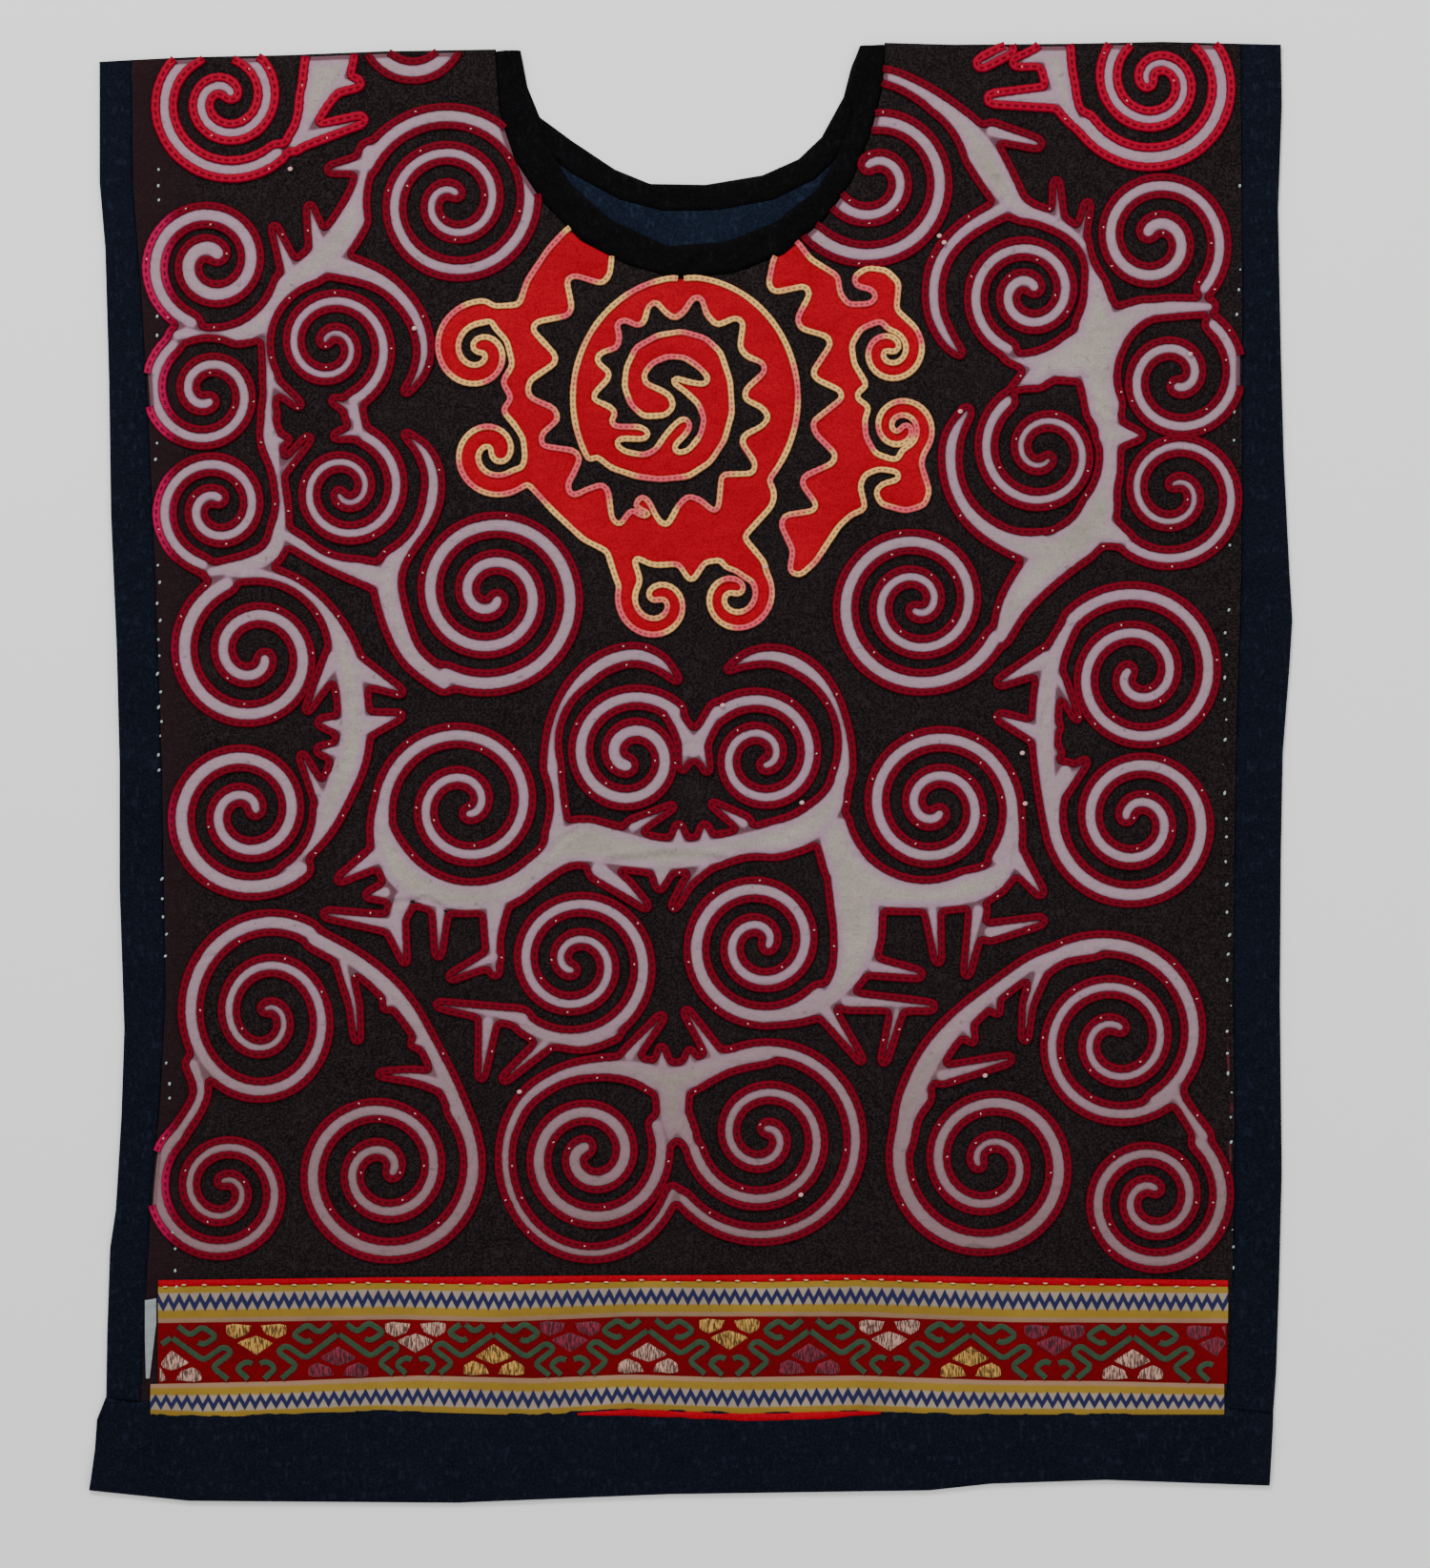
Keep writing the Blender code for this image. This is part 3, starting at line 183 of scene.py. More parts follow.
# Cream bodies between the spirals: runs of (across, down, half width)
CREAM_BODIES = [
    [(350, 40, 24), (345, 70, 26), (332, 100, 16), (308, 150, 10)],
    [(388, 160, 12), (386, 195, 14), (368, 235, 18), (340, 272, 18), (300, 300, 15), (268, 345, 20),
     (212, 345, 12), (186, 352, 9)],
    [(345, 276, 14), (400, 291, 10), (434, 325, 9), (447, 362, 8), (441, 392, 7), (425, 412, 3)],
    [(286, 330, 14), (284, 395, 8), (281, 440, 7), (284, 462, 13), (293, 500, 5), (296, 540, 9),
     (288, 588, 13), (222, 600, 9)],
    [(392, 392, 11), (366, 425, 7), (374, 450, 9), (400, 465, 9)],
    [(425, 455, 3), (447, 474, 8), (457, 505, 9), (449, 542, 10), (418, 578, 12), (404, 608, 15),
     (414, 650, 14), (430, 690, 12), (466, 716, 11)],
    [(300, 562, 9), (345, 589, 9), (400, 606, 15)],
    [(240, 598, 11), (300, 607, 9), (340, 640, 11), (364, 692, 18), (372, 745, 16), (370, 790, 19),
     (350, 838, 17), (334, 872, 14), (302, 908, 10)],
    [(412, 812, 8), (398, 845, 8), (402, 885, 16), (430, 930, 24), (520, 942, 20), (575, 905, 13),
     (600, 880, 26), (650, 890, 22), (702, 900, 18), (770, 890, 16), (850, 872, 22), (884, 830, 12),
     (884, 790, 9)],
    [(882, 880, 26), (896, 925, 28), (960, 938, 20), (1030, 932, 20), (1063, 905, 11), (1062, 850, 10)],
    [(896, 925, 28), (902, 990, 26), (884, 1035, 14), (850, 1062, 11), (800, 1068, 9)],
    [(586, 890, 14), (577, 800, 9), (588, 745, 10), (618, 702, 10), (660, 684, 10), (692, 693, 9),
     (711, 714, 3)],
    [(755, 714, 3), (785, 688, 8), (826, 688, 10), (866, 718, 10), (886, 780, 10), (882, 830, 12)],
    [(705, 765, 10), (726, 788, 10), (750, 768, 9)],
    [(520, 950, 14), (516, 985, 8), (520, 1018, 7)],
    [(545, 1062, 9), (575, 1085, 9), (610, 1096, 9), (645, 1084, 7)],
    [(535, 1184, 8), (545, 1160, 8), (565, 1140, 9), (600, 1122, 9), (660, 1118, 12), (705, 1138, 19),
     (760, 1112, 12), (805, 1106, 10)],
    [(705, 1138, 19), (706, 1178, 16), (690, 1206, 6)],
    [(712, 1176, 14), (730, 1206, 7)],
    [(1105, 40, 18), (1108, 75, 16), (1120, 112, 13), (1145, 138, 9)],
    [(924, 79, 8), (948, 86, 8), (985, 108, 10), (1024, 150, 20), (1050, 195, 18), (1068, 222, 12),
     (1110, 232, 9),
     (1144, 262, 7), (1150, 305, 12), (1153, 360, 32), (1158, 430, 18), (1160, 500, 16),
     (1148, 556, 22), (1104, 584, 24), (1064, 630, 17), (1050, 668, 10)],
    [(1060, 214, 10), (1008, 242, 9), (981, 278, 9), (978, 325, 9), (994, 358, 8), (1007, 371, 4)],
    [(1060, 372, 9), (1098, 382, 16), (1140, 372, 30), (1190, 325, 12), (1240, 322, 10), (1268, 322, 8)],
    [(1098, 385, 16), (1070, 410, 10), (1046, 440, 9)],
    [(1014, 432, 6), (996, 462, 10), (998, 508, 9), (1020, 546, 10), (1062, 572, 12), (1110, 578, 22)],
    [(1148, 552, 22), (1180, 566, 9)],
    [(1128, 645, 8), (1106, 684, 11), (1098, 720, 14), (1095, 775, 14), (1100, 830, 12), (1104, 862, 10)],
    [(1150, 995, 9), (1095, 1003, 10), (1048, 1036, 10), (1002, 1075, 13), (974, 1112, 15),
     (952, 1160, 14), (947, 1200, 11)],
    [(1228, 1140, 9), (1240, 1160, 7), (1262, 1192, 9)],
    [(330, 985, 11), (378, 1010, 11), (420, 1048, 12), (448, 1092, 9), (470, 1138, 11),
     (490, 1185, 10)],
    [(470, 1140, 9), (440, 1128, 8), (398, 1127, 3)],
    [(203, 1116, 9), (213, 1142, 8), (206, 1162, 8), (188, 1188, 8)],
]

# Links that join the arms across the ground: runs of (across, down, half width)
CREAM_LINKS = [
    [(702, 741, 9), (714, 762, 9), (727, 786, 13), (741, 764, 9), (752, 745, 9)],
    [(720, 784, 9), (716, 806, 4)],
    [(734, 784, 9), (742, 808, 4)],
    [(372, 426, 8), (376, 452, 9)],
    [(422, 944, 13), (413, 970, 10)],
    [(628, 912, 12), (655, 931, 9), (678, 951, 4)],
    [(742, 905, 8), (722, 925, 5), (707, 951, 4)],
]

# Prongs like small flames on the bodies: root, half width, tip, half width
CREAM_PRONGS = [
    (340, 86, 15, 375, 88, 5), (312, 146, 10, 379, 126, 5), (386, 172, 11, 347, 178, 5),
    (336, 262, 12, 325, 217, 4), (305, 285, 10, 288, 239, 4), (286, 402, 7, 314, 425, 4),
    (280, 432, 7, 290, 434, 3), (292, 462, 8, 303, 462, 3), (297, 492, 6, 324, 460, 4),
    (368, 428, 7, 350, 420, 4), (374, 453, 8, 352, 458, 4), (352, 690, 12, 322, 746, 3),
    (368, 700, 16, 421, 726, 4), (376, 762, 16, 420, 751, 4), (368, 762, 14, 337, 758, 5),
    (368, 790, 14, 336, 787, 5), (338, 838, 9, 317, 793, 4), (402, 895, 13, 356, 923, 4),
    (404, 936, 10, 386, 939, 4), (415, 970, 10, 343, 959, 5), (414, 968, 12, 425, 1010, 3),
    (462, 955, 9, 460, 1002, 4), (518, 1004, 9, 473, 1025, 4), (548, 1068, 10, 460, 1054, 4),
    (512, 1072, 10, 505, 1130, 4), (572, 1094, 8, 529, 1132, 4), (660, 1108, 9, 694, 1067, 4),
    (752, 1110, 9, 720, 1061, 4), (664, 868, 9, 706, 846, 3), (780, 864, 9, 747, 843, 3),
    (712, 888, 12, 712, 868, 5), (740, 888, 12, 739, 868, 5),
    (695, 905, 16, 692, 930, 5), (695, 1120, 10, 694, 1100, 4),
    (724, 1122, 10, 724, 1103, 4), (978, 955, 9, 984, 1008, 4), (1026, 955, 10, 1014, 1022, 4),
    (1038, 978, 10, 1092, 966, 5), (1064, 900, 12, 1091, 936, 5), (916, 1014, 10, 964, 1022, 5),
    (888, 1050, 10, 977, 1056, 5), (941, 1060, 7, 927, 1113, 4), (866, 1060, 10, 904, 1113, 3),
    (1058, 52, 6, 1029, 67, 6), (1100, 58, 12, 1066, 66, 5), (1106, 102, 12, 1041, 104, 6),
    (1040, 138, 10, 1088, 151, 6), (1110, 232, 7, 1108, 191, 4), (1134, 246, 6, 1141, 214, 4),
    (1166, 456, 18, 1195, 457, 5), (1098, 692, 13, 1049, 716, 5), (1096, 772, 13, 1049, 752, 5),
    (1110, 712, 8, 1130, 755, 3), (1098, 763, 10, 1109, 763, 5), (1098, 790, 10, 1110, 790, 5),
    (1112, 828, 10, 1138, 799, 4), (1094, 1010, 9, 1078, 1054, 6), (1078, 1054, 6, 1075, 1090, 4),
    (1040, 1042, 9, 1046, 1062, 4), (1010, 1072, 11, 1020, 1092, 4), (988, 1128, 10, 1058, 1111, 5),
    (360, 1010, 8, 372, 1055, 6), (372, 1055, 6, 375, 1090, 4), (410, 1050, 10, 404, 1058, 3),
    (442, 1092, 10, 432, 1096, 3), (1155, 432, 16, 1170, 425, 8),
]

# %% [markdown]
# ## The red medallion
# The medallion has toothed edges, which no single formula gives. Its corners were read off the
# photo's own figure one by one, and are then rounded, as a maker turns in each corner.

# %% Medallion
# Red medallion: spirals in the same columns as the cream ones
RED_SPIRALS = [
    (503, 369, 6, 42, 270, 365, 15, 23, 1.0),
    (517, 475, 8, 38, 0, -315, 20, 20, 1.0),
    (690, 632, 9, 36, 250, 330, 14, 18, 1.0),
    (770, 626, 10, 38, 290, -385, 14, 18, 1.0),
    (933, 369, 7, 31, 300, -385, 14, 17, 1.0),
    (944, 449, 7, 30, 20, 415, 12, 16, 1.0),
]
OVAL_COLUMNS = ("across", "down", "half_width", "half_height")
EGG = (719, 418, 118, 127)          # the egg-shaped ring
LOWER_BODY = [(618, 520, 8), (640, 560, 14), (690, 566, 27), (745, 562, 27), (790, 520, 22)]
LOWER_ARMS = [
    [(650, 580, 12), (658, 605, 12)],
    [(762, 570, 18), (790, 596, 13)],
    [(725, 578, 22), (725, 604, 5)],
]
# Black channel round and inside the red disc: corners along its edge, (across, down)
SUN_CHANNEL = [
    (612, 492), (625, 478), (641, 491), (668, 500), (692, 503), (722, 500), (745, 485), (760, 462),
    (768, 433), (766, 400), (756, 370), (740, 355), (715, 348), (690, 352), (667, 365), (657, 386),
    (655, 406), (662, 425), (675, 437), (698, 436), (707, 427), (703, 415), (690, 408), (677, 403),
    (675, 393), (684, 381), (700, 374), (718, 375), (733, 385), (744, 397), (740, 404), (722, 401),
    (706, 396), (705, 401), (719, 411), (733, 424), (739, 440), (735, 457), (722, 473), (710, 476),
    (706, 469), (720, 455), (725, 445), (718, 438), (708, 445), (697, 458), (688, 472), (676, 478),
    (655, 474), (645, 466), (650, 460), (677, 461), (682, 454), (672, 448), (645, 448), (640, 442),
    (647, 434), (640, 427), (621, 419), (625, 411), (638, 398), (640, 391), (628, 382), (625, 375),
    (633, 369), (648, 365), (650, 352), (646, 340), (655, 335), (670, 343), (676, 338), (680, 321),
    (688, 316), (698, 328), (708, 335), (718, 327), (727, 312), (736, 312), (741, 330), (752, 342),
    (772, 333), (780, 338), (776, 365), (783, 374), (801, 381), (803, 390), (782, 409), (781, 419),
    (800, 428), (807, 438), (800, 447), (780, 457), (778, 465), (793, 487), (790, 497), (757, 498),
    (754, 532), (750, 538), (735, 525), (722, 520), (712, 530), (700, 552), (692, 548), (680, 525),
    (673, 520), (662, 535), (650, 552), (642, 545), (638, 515), (632, 507), (600, 520), (596, 505),
]
# Toothed pieces beside the disc: corners along their edges, (across, down)
LEFT_WING = [
    (643, 255), (640, 288), (632, 298), (603, 289), (594, 293), (600, 322), (597, 331), (562, 338),
    (558, 346), (583, 373), (583, 381), (556, 399), (553, 411), (557, 418), (582, 429), (586, 440),
    (568, 456), (568, 468), (603, 473), (609, 481), (595, 512), (600, 521), (631, 508), (690, 556),
    (660, 590), (612, 566), (580, 536), (558, 512), (546, 499), (551, 480), (549, 460), (540, 446),
    (527, 431), (537, 418), (527, 401), (538, 383), (532, 358), (518, 343), (512, 322), (545, 320),
    (553, 295), (575, 262), (600, 235),
]
RIGHT_WING = [
    (816, 250), (806, 299), (812, 307), (845, 300), (850, 308), (836, 335), (840, 345), (868, 353),
    (872, 361), (852, 391), (856, 398), (882, 410), (884, 418), (852, 443), (855, 455), (877, 477),
    (874, 486), (843, 500), (841, 508), (857, 530), (854, 536), (823, 541), (819, 551), (832, 578),
    (828, 600), (839, 604), (855, 590), (880, 552), (893, 540), (908, 534), (902, 510), (907, 498),
    (922, 492), (942, 495), (944, 503), (925, 508), (918, 516), (924, 529), (950, 536), (970, 530),
    (975, 515), (966, 487), (970, 472), (955, 477), (938, 483), (918, 476), (908, 458), (907, 440),
    (912, 427), (898, 418), (900, 411), (910, 405), (896, 382), (893, 362), (903, 345), (922, 337),
    (952, 345), (954, 338), (940, 325), (943, 297), (930, 284), (910, 281), (896, 290), (897, 300),
    (915, 304), (920, 312), (913, 319), (890, 320), (881, 308), (879, 290), (850, 272), (832, 248),
]

# %% [markdown]
# ## Drawing cloth as a distance
# Joining strokes with mesh tools leaves slivers. A grid that holds the distance to the
# nearest cloth edge joins them cleanly, and the same distance later shapes the turned-in
# edge, the tint along the cords and the pull of the stitches on the ground.

# %% Distance to the cloth's edge
REACH = 14.0                # how far round the cloth the drawing is worked out, in photo pixels
ARM_TURN = 9.0              # degrees between two points of a spiral arm
CREAM_BOX = (150, 30, 1300, 1345)   # left, top, right and foot of the two drawings
RED_BOX = (455, 225, 990, 680)
FAR = 1e9
TINY = 1e-9


def new_field(box):
    left, top, right, foot = box
    columns = np.arange(left, right + FIELD_STEP, FIELD_STEP)
    rows = np.arange(top, foot + FIELD_STEP, FIELD_STEP)
    return {"x": columns, "y": rows, "d": np.full((len(rows), len(columns)), REACH)}


def window(field, x0, y0, x1, y1):
    """Rows and columns of the field that lie in a box."""
    c0, c1 = np.searchsorted(field["x"], (x0, x1))
    r0, r1 = np.searchsorted(field["y"], (y0, y1))
    return slice(r0, r1), slice(c0, c1)


def add_stroke(field, p, q):
    """Join a round-ended stroke with a width at each end to the cloth."""
    reach = max(p[2], q[2]) + REACH
    rows, columns = window(field, min(p[0], q[0]) - reach, min(p[1], q[1]) - reach,
                           max(p[0], q[0]) + reach, max(p[1], q[1]) + reach)
    x, y = np.meshgrid(field["x"][columns], field["y"][rows])
    dx, dy = q[0] - p[0], q[1] - p[1]
    share = ((x - p[0]) * dx + (y - p[1]) * dy) / max(dx * dx + dy * dy, TINY)
    share = np.clip(share, 0.0, 1.0)
    gap = np.hypot(x - p[0] - share * dx, y - p[1] - share * dy) - (p[2] + share * (q[2] - p[2]))
    field["d"][rows, columns] = np.minimum(field["d"][rows, columns], gap)


def add_run(field, run):
    for p, q in zip(run[:-1], run[1:]):
        add_stroke(field, p, q)


def spiral_run(row):
    """Points of a spiral arm, each with its half width."""
    s = dict(zip(SPIRAL_COLUMNS, row))
    steps = max(6, int(abs(s["sweep"]) / ARM_TURN))
    run = []
    for i in range(steps + 1):
        t = i / steps
        angle = math.radians(s["start"] + s["sweep"] * t)
        radius = s["r_tip"] + (s["r_end"] - s["r_tip"]) * t
        half = 0.5 * (s["w_tip"] + (s["w_end"] - s["w_tip"]) * t)
        run.append((s["across"] + radius * math.cos(angle),
                    s["down"] + radius * math.sin(angle) * s["stretch"], half))
    return run


def cut_disc(field, across, down, radius):
    x, y = np.meshgrid(field["x"], field["y"])
    field["d"] = np.maximum(field["d"], radius - np.hypot(x - across, y - down))


def add_oval(field, row):
    """Join an oval to the cloth; its distance is near enough for a cloth edge."""
    egg = dict(zip(OVAL_COLUMNS, row))
    x, y = np.meshgrid(field["x"], field["y"])
    u = (x - egg["across"]) / egg["half_width"]
    v = (y - egg["down"]) / egg["half_height"]
    gap = (np.hypot(u, v) - 1.0) * min(egg["half_width"], egg["half_height"])
    field["d"] = np.minimum(field["d"], gap)


def outline_gap(field, loop):
    """Distance to a closed outline, below zero inside it."""
    x, y = (field["x"], field["y"]) if field.get("own") else np.meshgrid(field["x"], field["y"])
    nearest = np.full(x.shape, FAR)
    inside = np.zeros(x.shape, bool)
    for (x0, y0), (x1, y1) in zip(loop, loop[1:] + loop[:1]):
        dx, dy = x1 - x0, y1 - y0
        share = np.clip(((x - x0) * dx + (y - y0) * dy) / max(dx * dx + dy * dy, TINY), 0, 1)
        nearest = np.minimum(nearest, np.hypot(x - x0 - share * dx, y - y0 - share * dy))
        if y0 != y1:
            inside ^= ((y0 > y) != (y1 > y)) & (x < dx * (y - y0) / dy + x0)
    return np.where(inside, -nearest, nearest)


def soften(field, passes):
    """Round the corners, as a turned-in edge does."""
    for _ in range(passes):
        d = np.pad(field["d"], 1, mode="edge")
        field["d"] = (d[1:-1, 1:-1] * 2 + d[:-2, 1:-1] + d[2:, 1:-1] + d[1:-1, :-2] + d[1:-1, 2:]) / 6


def rounded(run):
    """The run with its corners cut twice, so that long curves turn softly."""
    p = np.array(run, float)
    for _ in range(2):
        if len(p) < 3:
            return p
        near, far = p[:-1] * 0.75 + p[1:] * 0.25, p[:-1] * 0.25 + p[1:] * 0.75
        p = np.concatenate((p[:1], np.stack((near, far), axis=1).reshape(-1, 3)[1:-1], p[-1:]))
    return p


def cream_field():
    field = new_field(CREAM_BOX)
    for body in CREAM_BODIES:
        add_run(field, rounded(body))
    for disc in GROUND_DISCS:
        cut_disc(field, *disc)
    for row in CREAM_SPIRALS:
        add_run(field, spiral_run(row))
    for link in CREAM_LINKS:
        add_run(field, link)
    for prong in CREAM_PRONGS:
        add_stroke(field, prong[:3], prong[3:])
    soften(field, EDGE_SOFTENING)
    return field


def red_field():
    field = new_field(RED_BOX)
    add_oval(field, EGG)
    add_run(field, LOWER_BODY)
    for arm in LOWER_ARMS:
        add_run(field, arm)
    for wing in (LEFT_WING, RIGHT_WING):
        field["d"] = np.minimum(field["d"], outline_gap(field, wing))
    for row in RED_SPIRALS:
        add_run(field, spiral_run(row))
    field["d"] = np.maximum(field["d"], -outline_gap(field, SUN_CHANNEL))
    soften(field, EDGE_SOFTENING)
    return field


def keep_inside(field, edges):
    """Trim the drawing to the panel: each edge is (points, side, inset)."""
    x, y = np.meshgrid(field["x"], field["y"])
    for points, side, inset in edges:
        across = np.array([p[0] for p in points], float)
        down = np.array([p[1] for p in points], float)
        if side in ("left", "right"):
            line = np.interp(y, down, across)
            gap = (line + inset - x) if side == "left" else (x - line + inset)
        else:
            line = np.interp(x, across, down)
            gap = (line + inset - y) if side == "top" else (y - line + inset)
        field["d"] = np.maximum(field["d"], gap)


def keep_outside(field, loop, inset):
    """Trim the drawing away from a closed outline, such as the neck."""
    field["d"] = np.maximum(field["d"], inset - outline_gap(field, loop))


def front_neck_loop():
    """Neck outline on the front, closed above the shoulders."""
    return FRONT_NECK_SEAM + [(FRONT_NECK_SEAM[-1][0], NECK_TOP), (FRONT_NECK_SEAM[0][0], NECK_TOP)]


def contour_loops(field):
    """Closed outlines at zero, the cloth on the left of each."""
    d = np.pad(field["d"], 1, constant_values=9.0)
    x = np.concatenate(([field["x"][0] - FIELD_STEP], field["x"], [field["x"][-1] + FIELD_STEP]))
    y = np.concatenate(([field["y"][0] - FIELD_STEP], field["y"], [field["y"][-1] + FIELD_STEP]))
    inside = d < 0
    code = (inside[:-1, :-1] * 1 + inside[:-1, 1:] * 2 + inside[1:, 1:] * 4 + inside[1:, :-1] * 8)
    links = {1: ["TL"], 2: ["RT"], 3: ["RL"], 4: ["BR"], 5: ["TL", "BR"], 6: ["BT"], 7: ["BL"],
             8: ["LB"], 9: ["TB"], 10: ["RT", "LB"], 11: ["RB"], 12: ["LR"], 13: ["TR"], 14: ["LT"]}
    following = {}
    for r, c in zip(*np.nonzero((code > 0) & (code < 15))):
        sides = {"T": (r, c, 0), "B": (r + 1, c, 0), "L": (r, c, 1), "R": (r, c + 1, 1)}
        for first, last in links[int(code[r, c])]:
            following[sides[first]] = sides[last]

    def crossing(key):
        r, c, upright = key
        r2, c2 = (r + 1, c) if upright else (r, c + 1)
        share = d[r, c] / (d[r, c] - d[r2, c2])
        share = min(max(share, 0.02), 0.98)
        return (x[c] + share * (x[c2] - x[c]), y[r] + share * (y[r2] - y[r]))

    loops = []
    while following:
        start = next(iter(following))
        loop, key = [], start
        while key in following:
            loop.append(crossing(key))
            key = following.pop(key)
        loops.append(loop)
    return loops

# %% [markdown]
# ## Small helpers
# Cloth that follows a measured outline, with thousands of cells, is quicker and cleaner from
# arrays than by pulling vertices. Small loose things, such as stitches, start as primitives.

# %% Noise, places and cloth meshes
def lattice(i, j, seed):
    """A repeatable value from 0 to 1 for each corner of a grid."""
    n = np.sin(i * 127.1 + j * 311.7 + seed * 74.7) * 43758.5453
    return n - np.floor(n)


def soft_noise(x, y, size, seed):
    """Smooth unevenness from -0.5 to 0.5, with swells about one size wide."""
    u, v = np.asarray(x, float) / size, np.asarray(y, float) / size
    i, j = np.floor(u), np.floor(v)
    f, g = u - i, v - j
    f, g = f * f * (3 - 2 * f), g * g * (3 - 2 * g)
    top = lattice(i, j, seed) * (1 - f) + lattice(i + 1, j, seed) * f
    foot = lattice(i, j + 1, seed) * (1 - f) + lattice(i + 1, j + 1, seed) * f
    return top * (1 - g) + foot * g - 0.5


def to_metres(across, down, z):
    """Photo places and heights to an array of points."""
    across, down, z = np.broadcast_arrays(np.asarray(across, float), down, z)
    x = (across - CENTRE_ACROSS) * PHOTO_PIXEL
    y = (CENTRE_DOWN - down) * PHOTO_PIXEL
    return np.stack((x, y, z), axis=-1).reshape(-1, 3)


def cloth_piece(name, points, faces, mat, uv=None, edge=None):
    """A mesh in place, shaded smooth, with its own map and its distance from the edge."""
    mesh = bpy.data.meshes.new(name)
    mesh.from_pydata(np.asarray(points).tolist(), [], faces)
    mesh.materials.append(mat)
    mesh.shade_smooth()
    if uv is not None:
        corner = np.zeros(len(mesh.loops), np.int32)
        mesh.loops.foreach_get("vertex_index", corner)
        layer = mesh.uv_layers.new(name="along")
        layer.data.foreach_set("uv", np.asarray(uv, np.float32)[corner].ravel())
    if edge is not None:
        layer = mesh.attributes.new("edge_mm", "FLOAT", "POINT")
        layer.data.foreach_set("value", np.asarray(edge, np.float32).ravel())
    piece = bpy.data.objects.new(name, mesh)
    bpy.context.scene.collection.objects.link(piece)
    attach(piece, "root")
    return piece


def triangles_in(piece):
    return sum(len(face.vertices) - 2 for face in piece.data.polygons)


# %% [markdown]
# ## Shared effects
# Weave, stains and crinkles turn up on every cloth, so each is made once as a node group.
# A group gives only numbers. The colours and the shader stay with the cloth that uses them.

# %% Node helpers
def new_group(name, inputs, outputs):
    tree = bpy.data.node_groups.new(name, "ShaderNodeTree")
    for label, value in inputs:
        socket = tree.interface.new_socket(name=label, in_out="INPUT", socket_type="NodeSocketFloat")
        socket.default_value = value
    for label in outputs:
        tree.interface.new_socket(name=label, in_out="OUTPUT", socket_type="NodeSocketFloat")
    return tree, tree.nodes.new("NodeGroupInput"), tree.nodes.new("NodeGroupOutput")


def plug(tree, source, target):
    """Link a socket, or set a number or colour, on another socket."""
    if isinstance(source, (int, float)):
        target.default_value = source
    elif isinstance(source, tuple):
        target.default_value = (*source, 1.0) if len(target.default_value) == 4 else source
    else:
        tree.links.new(source, target)


def maths(tree, operation, a, b=0.0):
    node = tree.nodes.new("ShaderNodeMath")
    node.operation = operation
    plug(tree, a, node.inputs[0])
    plug(tree, b, node.inputs[1])
    return node.outputs[0]


def smooth_step(tree, value, low, high):
    """From 0 at low to 1 at high."""
    node = tree.nodes.new("ShaderNodeMapRange")
    node.interpolation_type = "SMOOTHSTEP"
    plug(tree, value, node.inputs["Value"])
    node.inputs["From Min"].default_value = low
    node.inputs["From Max"].default_value = high
    return node.outputs["Result"]


def noise_mask(tree, place, size, detail=3.0, stretch=(1.0, 1.0, 1.0)):
    """Noise with swells of a real size, from the object's own coordinates."""
    scaled = tree.nodes.new("ShaderNodeMapping")
    scaled.inputs["Scale"].default_value = stretch
    tree.links.new(place, scaled.inputs["Vector"])
    node = tree.nodes.new("ShaderNodeTexNoise")
    node.inputs["Scale"].default_value = 1.0 / size
    node.inputs["Detail"].default_value = detail
    tree.links.new(scaled.outputs["Vector"], node.inputs["Vector"])
    return node.outputs["Fac"]


def blend_colour(tree, share, first, second, blend="MIX"):
    node = tree.nodes.new("ShaderNodeMixRGB")
    node.blend_type = blend
    plug(tree, share, node.inputs["Fac"])
    plug(tree, first, node.inputs["Color1"])
    plug(tree, second, node.inputs["Color2"])
    return node.outputs["Color"]


def own_place(tree):
    return tree.nodes.new("ShaderNodeTexCoord").outputs["Object"]


def split(tree, vector):
    node = tree.nodes.new("ShaderNodeSeparateXYZ")
    tree.links.new(vector, node.inputs["Vector"])
    return node.outputs


def use_group(tree, group, **values):
    node = tree.nodes.new("ShaderNodeGroup")
    node.node_tree = group
    for label, value in values.items():
        plug(tree, value, node.inputs[label])
    return node.outputs


def bump(tree, height, distance, strength=1.0, under=None):
    node = tree.nodes.new("ShaderNodeBump")
    node.inputs["Strength"].default_value = strength
    node.inputs["Distance"].default_value = distance
    tree.links.new(height, node.inputs["Height"])
    if under is not None:
        tree.links.new(under, node.inputs["Normal"])
    return node.outputs["Normal"]


def cloth_shader(name, roughness, sheen, shine=0.15):
    """A new material with its shader, ready for a colour and a normal."""
    mat = bpy.data.materials.new(name)
    mat.use_nodes = True
    shader = mat.node_tree.nodes["Principled BSDF"]
    shader.inputs["Roughness"].default_value = roughness
    shader.inputs["Sheen Weight"].default_value = sheen
    shader.inputs["Sheen Roughness"].default_value = 0.5
    shader.inputs["Specular IOR Level"].default_value = shine
    return mat, mat.node_tree, shader


# %% Plain weave
def make_weave_group():
    tree, given, result = new_group("plain_weave", [("Threads", 1700.0), ("Wander", 0.4)],
                                    ["Height"])
    place = own_place(tree)
    drift = maths(tree, "MULTIPLY", noise_mask(tree, place, 0.004, 2.0), given.outputs["Wander"])
    x, y, _ = split(tree, place)
    thread = []
    for axis in (x, y):
        turn = maths(tree, "MULTIPLY", axis, given.outputs["Threads"])
        turn = maths(tree, "ADD", maths(tree, "MULTIPLY", turn, math.pi), maths(tree, "MULTIPLY", drift, 6.0))
        thread.append(maths(tree, "ABSOLUTE", maths(tree, "SINE", turn)))
    height = maths(tree, "MAXIMUM", thread[0], thread[1])
    tree.links.new(height, result.inputs["Height"])
    return tree


weave_group = make_weave_group()


